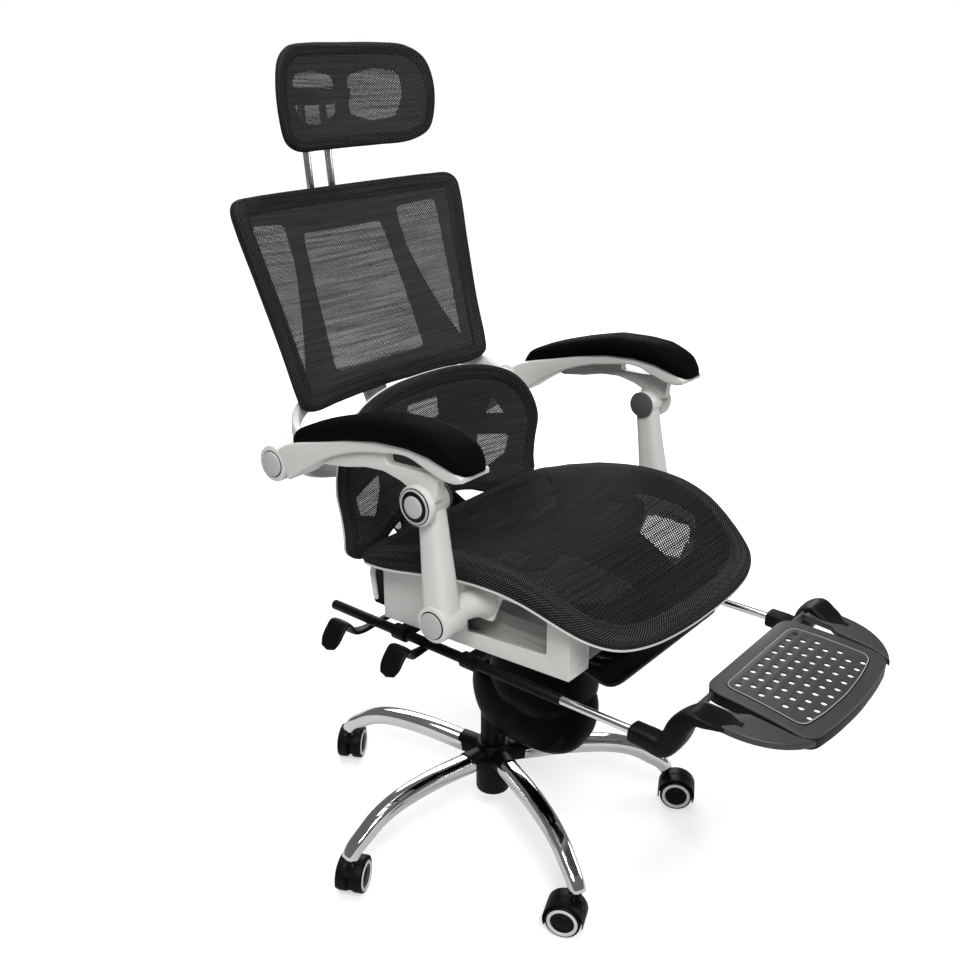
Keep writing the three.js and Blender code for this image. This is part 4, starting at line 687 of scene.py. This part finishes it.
flare = [(0.8, 1.4), (SEAM, flare_lift(SEAM)), (RIM_RING, flare_lift(RIM_RING)), (FLARE_LIP, flare_lift(FLARE_LIP)),
         (FLARE, flare_lift(FLARE) - 0.8), (FLARE, flare_lift(FLARE) - 3.2),
         (FLARE_LIP, flare_lift(FLARE) - SHELL_WALL), (RIM_RING, flare_lift(RIM_RING) - SHELL_WALL),
         (SEAM, flare_lift(SEAM) - SHELL_WALL), (0.9, flare_lift(0) - SHELL_WALL), (0, flare_lift(0) - 3.2), (0, 0.8)]
skirt_top_lift = flare_lift(FLARE) + 3.5
SKIRT_X, INNER_X = (196, 200), (150, 154)
skirt = [(SHELL_FRONT, 484), (SHELL_REAR, 467)]
skirt += [(y, rim_height(y) + skirt_top_lift) for y in np.linspace(SHELL_REAR, SHELL_FRONT, 40)]
window = rounded([(-62, 500), (-207, 512), (-207, 575), (-128, 575), (-122, 560), (-112, 532), (-62, 530)], 6)
slot_hole = rounded([(-86, 491), (-190, 491), (-190, 504), (-86, 504)], 5)
floor_outline = [(SHELL_FRONT, 484), (SHELL_REAR, 467), (SHELL_REAR, 471), (SHELL_FRONT, 488)]
inner_outline = [(SHELL_FRONT, 484), (SHELL_REAR, 467), (SHELL_REAR, 552), (-48, 552), (-62, 524), (-212, 524),
                 (-226, 566), (SHELL_FRONT, 566)]
boss = [(3, 0), (30, 0), (29, 3), (24, 12), (20, 26), (18, 42), (17.4, 57), (16, 58), (3, 58)]
strip = [(112, 568.5), (121, 568.5), (126, 540), (119, 498), (113, 498), (118, 540)]


def box_part(low, high, bevel=1.0):
    loop = [(low[1], low[2]), (high[1], low[2]), (high[1], high[2]), (low[1], high[2])]
    return plate([loop], low[0], high[0], bevel)


half_shell = [
    plate([skirt, window], *SKIRT_X, 0.9), plate([floor_outline], 150, 199, 0.6),
    plate([inner_outline, slot_hole], *INNER_X, 0.9),
    box_part((150, -245.2, 484), (199, -242, 566), 0.3), box_part((150, 102, 467), (199, 105.2, 552), 0.3),
    plate([rounded(strip, 1.5, 3)], 204, 210, 1.2),
    turned(boss, (203.4, *FOOT_PIVOT), ACROSS, 56), cross_disc(196, 206, *FOOT_PIVOT, 29, 0.6),
]
shell = merged(ring_body(seat_outline, flare, seat_place), box_part((-152, -227, 476.3), (152, 102, 482.3), 0.8),
               *half_shell, *[flipped(part) for part in half_shell])
stand_in("seat_shell", shell, "seat", WHITE, "white_plastic", 36)

# A pale plate behind each slot in the shell's inner walls: painted light, so the slots read brighter than the shell
# around them, as if the bright floor showed through.
painted_light_plate = box_part((146, -192, 489), (149.5, -84, 506), 0.5)
make("slot_painted_light_plate", *merged(painted_light_plate, flipped(painted_light_plate)), "seat", PAINTED_LIGHT_PALE, (), "white_plastic")

ring_lift = [(SEAM, flare_lift(SEAM) + 0.3), (RIM_RING, flare_lift(RIM_RING) + 0.3), (RIM_RING, 12), (33, 13), (6, 16),
             (SEAM, 15)]
seat_windows = [
    [[0.31, 0.575], [0.55, 0.6], [0.66, 0.56], [0.76, 0.47], [0.85, 0.5], [0.84, 0.71], [0.47, 0.81], [0.2, 0.815]],
    [[0.44, 0.42], [0.6, 0.415], [0.62, 0.52], [0.44, 0.52]],
    [[0.06, 0.31], [0.1, 0.25], [0.62, 0.17], [0.68, 0.2], [0.4, 0.29]],
]
holes = []
for shares in seat_windows:
    hole = rounded(on_seat(shares), 8)
    holes += [hole, mirror(hole)]
seat_floor = bent([list(inset(seat_outline, 30)), *holes], -6, -1, 1, seat_place, (), cuts(-330, 120, 16))
seat_frame = merged(ring_body(seat_outline, ring_lift, border_place), seat_floor)
stand_in("seat_frame", seat_frame, "seat", BLACK, "black_plastic", 40)

seat_border = [(4, 1.9), (0.6, 2), (-0.6, 4), (-1.4, 11), (-0.8, 18), (1.5, 23), (6, 26.4), (14, 28), (24, 27.6),
               (33, 27), (33, 25.6), (24, 26.2), (8, 24), (4.3, 20), (3.8, 12)]
border = soft_band("seat_border", seat_outline, seat_border, border_place, "seat")
seat_net = net("seat_net", seat_outline, border_place, 27.2, 20, 30, "seat", SEAT_NET)
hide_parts("seat_mesh")

# ---------- footrest

SIDES = ((1, "left"), (-1, "right"))
RAIL_X, RAIL_Z = 204, 454
for side, tag in SIDES:
    x = RAIL_X * side
    rail_profile = [(6.3, 0), (7.4, 0.2), (8, 1), (8, 452), (7.4, 452.8), (6.3, 453), (6.3, 0.0)]
    stand_in(f"footrest_rail_{tag}", turned(rail_profile, (x, -238, RAIL_Z), ALONG), "seat", BLACK, "black_plastic")
    stand_in(f"footrest_rod_{tag}", tube((x, -376, RAIL_Z), (x, 96, RAIL_Z), 6, 1), "footrest", CHROME, "chrome")
foot_arm_stops = [(RAIL_X, -352, RAIL_Z, 15, 25), (RAIL_X, -380, 453, 16, 26), (203, -404, 452, 18, 28),
                  (199, -416, 470, 20, 32), (194, -424, 490, 21, 31), (187, -438, 504, 22, 22),
                  (179, -456, 503, 22, 14), (171, -475, 499, 19, 11), (167, -498, 497, 17, 10)]
wing_outer = [(126, -575), (145, -565), (165, -548), (180, -525), (188, -500), (190, -470), (186, -440)]
wing_inner = [(150, -432), (150, -476), (139, -489), (137, -548), (131, -565)]
PAD_REAR, PAD_FRONT, PAD_TOP, PAD_FALL = -412, -584, 506, 16
PAD_HALF, PAD_CORNER = 124, 26
HOLE_ROWS, HOLE_COLUMNS, HOLE_RADIUS = 7, 9, 4.7


def divided(points, step):
    """The outline with more points, about that many millimetres apart."""
    out = []
    for k, point in enumerate(points):
        start, end = np.array(point, float), np.array(points[(k + 1) % len(points)], float)
        count = max(1, int(np.linalg.norm(end - start) // step))
        out += [tuple(start + (end - start) * i / count) for i in range(count)]
    return out


def pad_loop(margin):
    rear, side, front = PAD_REAR - margin, PAD_FRONT + 12 + margin, PAD_FRONT + margin
    rear_half, front_half = PAD_HALF - margin, PAD_HALF + 10 - margin
    right = [(rear_half, rear), (front_half, side), (front_half * 0.55, side - 8.4)]
    corners = right + [(0, front)] + mirror(right[::-1])
    return divided(rounded(corners, PAD_CORNER - margin / 2, 8), 12)


def pad_place(x, y, lift):
    share = (PAD_REAR - y) / (PAD_REAR - PAD_FRONT)
    return at(x, y, PAD_TOP + lift - PAD_FALL * share * share)


wing_curve = [tuple(p[:2]) for p in spline([[*p, 0] for p in wing_outer], 40)]
wing_loop = rounded(wing_inner[:1] + [(176, -432)], 3) + wing_curve[::-1] + wing_inner[:0:-1]
wing = bent([wing_loop], -10, 0, 2, pad_place, (), cuts(-570, -430))
foot_arm = bar(foot_arm_stops, 40, 0.6, ACROSS, 90, 4)
for side, tag in SIDES:
    stand_in(f"footrest_arm_{tag}", sided(foot_arm, side), "footrest", BLACK, "black_plastic", 60)
    make(f"footrest_wing_{tag}", *sided(wing, side), "footrest", PAD_GREY, (), "grey_pad", 36)

pad_holes = []
turns = np.linspace(0, math.tau, 21)[:-1]
for row in range(HOLE_ROWS):
    count = HOLE_COLUMNS - row % 2
    y = PAD_REAR + (PAD_FRONT - PAD_REAR) * (0.2 + 0.6 * row / (HOLE_ROWS - 1))
    for column in range(count):
        x = (column - (count - 1) / 2) * 2 * PAD_HALF * 0.72 / (HOLE_COLUMNS - 1)
        pad_holes.append([(x + HOLE_RADIUS * math.cos(a), y + HOLE_RADIUS * math.sin(a)) for a in turns])
strips = cuts(-580, -410)
slab = bent([pad_loop(0), *pad_holes], -3, 0, 1.4, pad_place, (), strips)
# The footrest pad's side wall is black under its grey top: painted shade for the sides that the light from above
# misses.
wall = bent([pad_loop(0.5), pad_loop(6)], -19, -2.6, 1, pad_place, (), strips)
make("footrest_panel_shaded_wall", *wall, "foot_panel", BLACK, (), "black_plastic", 36)
panel = bent([pad_loop(22), *pad_holes], -1, 1, 0.5, pad_place, (), strips)
# Two thin rings around the footrest's inner panel: a light one painted as the raised edge's highlight, and a dark one
# painted as its shadow line.
for name, margin, width, top, material in (("light", 20.6, 1.1, 1.3, EDGE_HIGHLIGHT_GREY), ("dark", 19.2, 1.2, 0.7, BLACK)):
    line = bent([pad_loop(margin), pad_loop(margin + width)], -0.6, top, 0.2, pad_place, (), strips)
    make(f"footrest_painted_edge_{name}", *line, "foot_panel", material, (), "grey_pad", 36)
pins = [sided(cross_disc(98, 181, -425, 497, 4.7, 0.6), side) for side in (1, -1)]
make("footrest_panel", *merged(slab, panel, *pins), "foot_panel", PAD_GREY, ["footrest_pad"], "grey_pad", 36)

# ---------- back, lumbar and headrest

panel_shares = [[0, 0.01], [0.5, 0], [0.78, -0.004], [0.86, 0.024], [0.88, 0.085], [0.9, 0.3], [0.95, 0.62],
                [0.99, 0.86], [0.987, 0.94], [0.94, 0.98], [0.8, 0.996], [0.45, 1.012], [0, 1.018]]
PANEL, HEAD, LUMBAR = (253, 334), (167, 76), (250, 108)
panel_outline = outline(scaled(panel_shares, *PANEL), 220)
panel_place = hollow_place(229, 785, PANEL[0], 50, 20.2)
head_shares = [[0, -1.03], [0.4, -1.03], [0.74, -1], [0.93, -0.8], [1, -0.35], [1, 0.25], [0.92, 0.7],
               [0.74, 0.95], [0.45, 1.02], [0, 1.03]]
head_outline = outline(scaled(head_shares, *HEAD), 160)
head_place = hollow_place(316, 1233, HEAD[0], 40, 4)
lumbar_shares = [[0, -0.78], [0.26, -0.82], [0.4, -0.9], [0.54, -1.03], [0.7, -1.08], [0.84, -1.03], [0.94, -0.85],
                 [0.94, -0.6], [0.955, -0.3], [0.985, 0.1], [0.93, 0.52], [0.8, 0.88], [0.62, 1.08], [0.36, 1.2],
                 [0, 1.23]]
lumbar_outline = outline(scaled(lumbar_shares, *LUMBAR), 200)
lumbar_place = hollow_place(144, 670, LUMBAR[0], 46, 3)


def net_panel(name, loop, place, foot, band, width, sag, body, replaced):
    """A knitted hem that wraps the frame's rim, and the net stretched inside it."""
    sections = [(4.4, foot), (0.4, foot), (-0.6, foot + 2), (-1, 0), (-0.4, band - 3.6), (1.6, band - 1), (5, band),
                (width * 0.5, band + 0.5), (width - 4, band - 0.2), (width, band - 1.4), (width, band - 2.6),
                (width * 0.5, band - 1.6), (5.4, band - 2.8), (4.4, band - 4)]
    hem = soft_band(f"{name}_border", loop, sections, place, body)
    sheet = net(f"{name}_net", loop, place, band - 1.6, sag, width - 4, body, NET)
    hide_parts(replaced)


net_panel("back", panel_outline, panel_place, -9, 9, 28, 6, "back", "upper_back_mesh")
net_panel("lumbar", lumbar_outline, lumbar_place, -4.7, 9, 24, 6, "lumbar", "lumbar_mesh")
net_panel("headrest", head_outline, head_place, -6.7, 8, 18, 5, "headrest", "headrest_mesh")


def frame_rim(loop, place, foot, top, ring, windows, floor_low, floor_high):
    """A frame: a raised ring under the net's hem, and a plate with windows across it."""
    edge = 4.3
    sections = [(edge, foot), (edge, top - 1), (edge + 1, top), (ring - 1, top), (ring, top - 1), (ring, foot)]
    holes = [rounded(corners, 12) for corners in windows]
    width = loop[:, 0].max()
    low, high = loop[:, 1].min(), loop[:, 1].max()
    floor = bent([list(inset(loop, ring - 4)), *holes], floor_low, floor_high, 1, place, cuts(-width, width),
                 list(np.linspace(low, high, 14)[1:-1]))
    return merged(ring_body(loop, sections, place), floor)


middle = [(0.36, 0.815), (0.375, 0.72), (0.4, 0.5), (0.43, 0.14)]
raised = [(0.41, 0.865), (0.44, 0.72), (0.47, 0.5), (0.6, 0.09)]
side_window = [(0.5, 0.87), (0.83, 0.87), (0.79, 0.5), (0.745, 0.12), (0.63, 0.33), (0.56, 0.5), (0.5, 0.68)]
panel_windows = [scaled(shares, *PANEL) for shares in (both_sides(middle), side_window, mirror(side_window))]
rim = frame_rim(panel_outline, panel_place, -9, 5, 18, panel_windows, -8, -3)
outer, inner = [rounded(scaled(both_sides(half), *PANEL), 14) for half in (raised, middle)]
inner = list(inset(np.array(inner), -1.5))
blocks = [bent([divided(outer, 12), inner], -4, 1.2, 2.4, panel_place, cuts(-154, 156)),
          box_part((-30, 386, 1048), (30, 401.7, 1072)), box_part((50, 286, 780), (80, 302.7, 806)),
          box_part((-80, 286, 780), (-50, 302.7, 806))]
stand_in("upper_back_frame", merged(rim, *blocks), "back", FRAME_GREY, "black_plastic", 40)

stand_in("headrest_receiver", box_part((-38, 402, 1040), (38, 430, 1080), 3), "back", BLACK, "black_plastic")
clip_loops = [rounded([(x - 9, 318), (x + 9, 318), (x + 9, 326), (x - 9, 326)], 2) for x in (-36, 36)]
points, faces = merged(*[plate([loop], 5.2, 7, 0.4, "flat") for loop in clip_loops])
points = [panel_place(*((p - ZERO) * 1000)) for p in points]
make("panel_clips", points, faces, "back", BLACK, (), "black_plastic")

head_window = [(0.08, -0.36), (0.34, -0.54), (0.64, -0.48), (0.73, -0.05), (0.7, 0.42), (0.42, 0.52), (0.09, 0.4)]
head_windows = [scaled(shares, *HEAD) for shares in (head_window, mirror(head_window))]
rim = frame_rim(head_outline, head_place, -7, 4, 17, head_windows, -6, -2)
lug = merged(box_part((14, 360, 1223), (22, 400, 1241)), cross_disc(14, 22, 400, 1232, 9))
stand_in("headrest_frame", merged(rim, lug, flipped(lug)), "headrest", FRAME_GREY, "black_plastic", 40)

lumbar_ring = [(0.6, -9), (0, -8.4), (0, -5.6), (0.6, -5), (4.6, -5), (4.6, 3.4), (5.4, 4), (17.2, 4), (18, 3.4),
               (18, -9)]
lumbar_windows = [[(0.65, 0.57), (0.75, 0.21), (0.57, 0.31)],
                  [(0.49, -0.01), (0.78, -0.16), (0.74, -0.47), (0.56, -0.64), (0.49, -0.26)]]
lumbar_holes = [[(-0.15, 0.82), (0.15, 0.82), (0.16, 0.48), (-0.16, 0.48)]]
for shares in lumbar_windows:
    lumbar_holes += [shares, mirror(shares)]
lumbar_holes = [rounded(scaled(shares, *LUMBAR), 6) for shares in lumbar_holes]
lumbar_floor = bent([list(inset(lumbar_outline, 14)), *lumbar_holes], -7, -3, 1, lumbar_place, cuts(-238, 240))
make("lumbar_plate", *lumbar_floor, "lumbar", BLACK, (), "black_plastic", 40)
lug = merged(box_part((28, 190, 661), (36, 226, 679)), cross_disc(28, 36, 226, 670, 9))
rim = ring_body(lumbar_outline, lumbar_ring, lumbar_place)
stand_in("lumbar_frame", merged(rim, lug, flipped(lug)), "lumbar", WHITE, "white_plastic", 40)

yoke_half = [(242, *REAR_PIVOT), (236, 228, 710), (200, 240, 690), (120, 250, 668), (50, 254, 661)]
cross_half = [(240, 224, 740), (236, 244, 754), (215, 266, 768), (170, 286, 780), (110, 306, 785), (60, 318, 787)]


def bowed(half, middle, wide, thick):
    """A bar from one side of the chair to the other, by the stops of its one half and its middle."""
    stops = [(-x, y, z) for x, y, z in half] + [middle] + half[::-1]
    return bar([(*stop, wide, thick) for stop in stops], 36, 0.6, UP, 110)


spine_stops = [(0, 322, 790, 24, 16), (0, 306, 750, 26, 16), (0, 279, 705, 28, 16), (0, 256, 660, 30, 16)]
parts = [bowed(yoke_half, (0, 254, 660), 20, 14), bowed(cross_half, (0, 322, 788), 13, 14),
         bar(spine_stops, 36, 0.6, ACROSS, 30), box_part((-28, 240, 600), (28, 252, 690), 2)]
for side, _ in SIDES:
    parts += [sided(cross_disc(233, 251.7, *REAR_PIVOT, 24, 2), side),
              sided(cross_disc(247, 299.4, *REAR_PIVOT, 9, 0.6), side),
              sided(box_part((50, 303, 780), (80, 317, 806)), side)]
stand_in("back_frame", united("back_frame", *parts), "back", WHITE, "white_plastic", 34)

POST_X, POST_Y, POST_Z = 24, 418, 1110
lean = math.tan(math.radians(6))
for side, tag in SIDES:
    low, high = [(POST_X * side, POST_Y + rise * lean, POST_Z + rise) for rise in (-74, 118)]
    stand_in(f"headrest_post_{tag}", tube(low, high, 6, 1), "headrest_lift", POST, "chrome")

# ---------- armrests

ARM_SPAN = REAR_PIVOT[0] - FRONT_PIVOT[0]
POST_AHEAD, POST_RISE = FRONT_PIVOT[0] - FOOT_PIVOT[0], FRONT_PIVOT[1] - FOOT_PIVOT[1]
POST_INNER, CAP_OUTER, ARM_OUTER = 262, 307.7, 311
PAD_MIDDLE, CUSHION_HALF, CUSHION_HIGH = 281.5, 34, 30
post_shares = [(-0.02, 22.5, 50), (0.2, 21, 46), (0.5, 19, 40), (0.8, 17, 36), (1, 17, 34)]
top_shares = [(0.954, 0.067), (0.9, 0.098), (0.827, 0.127), (0.655, 0.173), (0.444, 0.229), (0.232, 0.271),
              (0.035, 0.282), (-0.1, 0.268), (-0.21, 0.236), (-0.286, 0.207)]
bottom_shares = [(-0.286, 0.184), (-0.24, 0.17), (-0.17, 0.172), (-0.09, 0.195), (0.053, 0.236), (0.215, 0.215),
                 (0.37, 0.183), (0.549, 0.12), (0.736, 0.014), (0.884, -0.088)]
web_upper = [(-0.2, 0.168), (-0.09, 0.21), (0.053, 0.257), (0.37, 0.2), (0.549, 0.14), (0.69, 0.07)]
web_lower = [(0.637, 0.05), (0.472, 0.075), (0.35, 0.105), (0.229, 0.114), (0.12, 0.092), (0.067, 0.07), (0.02, 0.03)]
web_front = [(-0.1, 0.03), (-0.113, 0.144)]
lens = [(0.211, 0.155), (0.062, 0.16), (-0.06, 0.168), (-0.105, 0.187), (-0.05, 0.212), (0.062, 0.232), (0.211, 0.21)]


def arm_points(shares):
    return [(FRONT_PIVOT[0] + ARM_SPAN * u, FRONT_PIVOT[1] + ARM_SPAN * v) for u, v in shares]


def smooth(shares, count):
    return [tuple(p[:2]) for p in spline([[a, b, 0] for a, b in arm_points(shares)], count)]


band_outline = smooth(top_shares, 60) + smooth(bottom_shares, 60)
web_outline = rounded(arm_points(web_lower + web_front + web_upper), 4, 3)
lens_hole = rounded(arm_points(lens), 6, 4)
arm_form = merged(
    plate([band_outline], 252, ARM_OUTER, 3), plate([web_outline, lens_hole], 286, 302, 1.5),
    cross_disc(252, ARM_OUTER, *REAR_PIVOT, 28, 2.5), cross_disc(299, ARM_OUTER, *FRONT_PIVOT, 29, 2.5),
)
pad_stops = [(0.905, 0.1, 0.25), (0.86, 0.45, 0.6), (0.827, 0.6, 0.72), (0.655, 0.85, 0.85), (0.444, 0.93, 0.93),
             (0.232, 1, 1), (0.035, 0.97, 1), (-0.1, 1, 1), (-0.21, 0.9, 0.95), (-0.27, 0.6, 0.75), (-0.3, 0.2, 0.42)]
top_line = np.array(arm_points(top_shares)[::-1])
pad_rings = []
for u, height, width in spline(pad_stops, 70):
    y = FRONT_PIVOT[0] + ARM_SPAN * u
    z = float(np.interp(y, top_line[:, 0], top_line[:, 1])) + 0.4
    ring = []
    for k in range(40):
        angle = (k + 0.5) / 40 * math.tau
        c, s = math.cos(angle), math.sin(angle)
        across = math.copysign(abs(c) ** 0.55, c) * CUSHION_HALF * width
        lift = abs(s) ** 0.7 * CUSHION_HIGH * height if s > 0 else -abs(s) ** 0.3 * 1.5
        ring.append(at(PAD_MIDDLE + across, y, z + lift + 1.5))
    pad_rings.append(ring)
pad = skin(pad_rings)
post_stops = [(POST_INNER + half, FOOT_PIVOT[0] + POST_AHEAD * s, FOOT_PIVOT[1] + POST_RISE * s, half, thick)
              for s, half, thick in post_shares]
post = united("post", bar(post_stops, 40, 0.62, ACROSS, 30), cross_disc(POST_INNER, CAP_OUTER, *FOOT_PIVOT, 27, 2.5),
              cross_disc(POST_INNER, 299.4, *FRONT_PIVOT, 21, 1.5))


def front_part(profile, x=ARM_OUTER, axis=ACROSS):
    return turned(profile, (x, *FRONT_PIVOT), axis, 56)


rim_profile = [(19.4, 0), (20.6, 0), (20.6, 0.5), (19.4, 0.5)]
foot_cap = merged(cross_disc(308, 311, *FOOT_PIVOT, 19, 1.2), cross_disc(226, 309, *FOOT_PIVOT, 9, 0.5))
rear_cap = cross_disc(308.3, 314, *REAR_PIVOT, 19, 1.2)
well = merged(cross_disc(ARM_OUTER, 312.6, *FRONT_PIVOT, 26, 0.4),
              front_part([(16.6, 1), (21.2, 1), (21.2, 2.6), (20, 3.2), (17, 3.2), (16.6, 2.6)]))
ring = front_part([(21.6, 0), (24.6, 0), (24.8, 1.6), (24.2, 2.4), (22, 2.4), (21.6, 1.6)])
face = front_part([(3, 0), (15.4, 0), (16, 1), (15.6, 3.8), (14.5, 4.6), (8, 4.9), (1, 5)])
inner = merged(front_part([(3, 0), (20, 0), (21.6, 0.6), (22, 2), (21, 4.4), (18, 5.2), (1, 5.7)], 261.7, (-1, 0, 0)),
               cross_disc(258, 312, *FRONT_PIVOT, 9, 0.5))
for side, tag in SIDES:
    arm = f"arm_{tag}"
    stand_in(f"armrest_frame_{tag}", sided(arm_form, side), arm, WHITE, "white_plastic", 32)
    cushion = stand_in(f"armrest_pad_{tag}", sided(pad, side), arm, FOAM, "arm_pad_foam", 70)
    stand_in(f"arm_post_{tag}", sided(post, side), f"post_{tag}", WHITE, "white_plastic", 34)
    for name, centre, body in (("foot", (CAP_OUTER, *FOOT_PIVOT), "seat"), ("rear", (ARM_OUTER, *REAR_PIVOT), arm)):
        rim = turned(rim_profile, centre, ACROSS, 56)
        make(f"{name}_cap_rim_{tag}", *sided(rim, side), body, BLACK, (), "black_plastic")
    stand_in(f"post_foot_cap_{tag}", sided(foot_cap, side), "seat", CAP, "cap_grey")
    make(f"front_pivot_well_{tag}", *sided(well, side), arm, BLACK, (), "black_plastic")
    make(f"front_pivot_ring_{tag}", *sided(ring, side), arm, CAP, (), "cap_grey")
    make(f"front_pivot_inner_{tag}", *sided(inner, side), arm, DARK_CAP, (), "cap_grey")
    stand_in(f"front_pivot_cap_{tag}", sided(face, side), arm, CAP, "cap_grey")
    stand_in(f"rear_pivot_cap_{tag}", sided(rear_cap, side), arm, CAP, "cap_grey")

# ---------- front tray, and the parts shown as they were packed, with their edges rounded

def tray_place(x, y, lift):
    return at(x, y, 446 + lift + 14 * ((-150 - y) / 112) ** 2)


tray_loop = rounded([(160, -294), (85, -150.5), (-85, -150.5), (-160, -294)], 34, 8)
tray_holes = []
for x in (-96, -72, -48, 48, 72, 96):
    near, far = -197 + abs(x) * 0.06, -240 + abs(x) * 0.06
    tray_holes.append(rounded([(x - 4, near), (x + 4, near), (x + 4, far), (x - 4, far)], 3))
tray = bent([divided(tray_loop, 14), *tray_holes], 0, 6, 1.5, tray_place, (), cuts(-280, -150, 10))
stand_in("front_tray", tray, "seat", BLACK, "black_plastic")

for node, material in (("tilt_mechanism", BLACK), ("rear_yoke", BLACK), ("recline_pin", STEEL),
                       ("recline_bracket", BLACK), ("lumbar_hinge", BLACK), ("headrest_bracket", BLACK)):
    obj = NODES[node]
    obj.data.materials.clear()
    obj.data.materials.append(material)
    edge = obj.modifiers.new("edges", "BEVEL")
    edge.width = 0.0008
    edge.segments = 2
    edge.limit_method = "ANGLE"
    edge.angle_limit = math.radians(35)

# ---------- floor, light and camera


def camera_only(tree):
    path = tree.nodes.new("ShaderNodeLightPath")
    return path.outputs["Is Camera Ray"]


floor_mat, tree, shader = new_material("floor", (0.6, 0.6, 0.6), 0.75, specular=0.2)
vector = coords(tree)
tree.links.new(tint(tree, noise(tree, vector, 4), (0.59, 0.59, 0.59), (0.61, 0.61, 0.61)), shader.inputs["Base Color"])
shader.inputs["Emission Color"].default_value = (1, 1, 1, 1)
reach = tree.nodes.new("ShaderNodeVectorMath")
reach.operation = "LENGTH"
tree.links.new(vector, reach.inputs[0])
glow = ramp(tree, reach.outputs["Value"], 0.5, 1.0, 0.7, 2.2)
tree.links.new(math_node(tree, "MULTIPLY", camera_only(tree), glow), shader.inputs["Emission Strength"])
bpy.ops.mesh.primitive_plane_add(size=60, location=(0, 0, 0))
floor = bpy.context.object
floor.name = "studio_floor"
floor.data.materials.append(floor_mat)

scene = bpy.context.scene
world = bpy.data.worlds.new("studio")
scene.world = world
world.use_nodes = True
tree = world.node_tree
back = tree.nodes["Background"]
back.inputs["Color"].default_value = (1, 1, 1, 1)
strength = math_node(tree, "ADD", math_node(tree, "MULTIPLY", camera_only(tree), 0.85), 0.15)
tree.links.new(strength, back.inputs["Strength"])


def aimed(data, where, direction):
    obj = bpy.data.objects.new(data.name, data)
    obj.location = where
    obj.rotation_euler = direction.to_track_quat("-Z", "Y").to_euler()
    scene.collection.objects.link(obj)
    return obj


def light(name, where, target, size, power):
    data = bpy.data.lights.new(name, "AREA")
    data.shape = "RECTANGLE"
    data.size, data.size_y = size
    data.energy = power
    aimed(data, where, Vector(target) - Vector(where))


light("key", (-2.2, -1.9, 3.5), (0, 0, 0.6), (1.4, 1.4), 150)
light("fill", (2.8, -2.4, 1.9), (0, 0, 0.6), (1.6, 1.6), 35)
light("top", (0, 0.4, 3.4), (0, 0, 0.5), (2.2, 2.2), 60)
light("rim", (2.4, 2.2, 2.0), (0, -0.2, 0.6), (2.6, 1.2), 60)

camera_data = bpy.data.cameras.new("photo")
camera_data.lens = 42.322
camera_data.sensor_width = 36
yaw, pitch = 0.887504, 0.377128
forward = Vector((math.sin(yaw) * math.cos(pitch), math.cos(yaw) * math.cos(pitch), -math.sin(pitch)))
scene.camera = aimed(camera_data, (-1.31710, -0.93537, 1.32240), forward)
scene.view_settings.view_transform = "Standard"
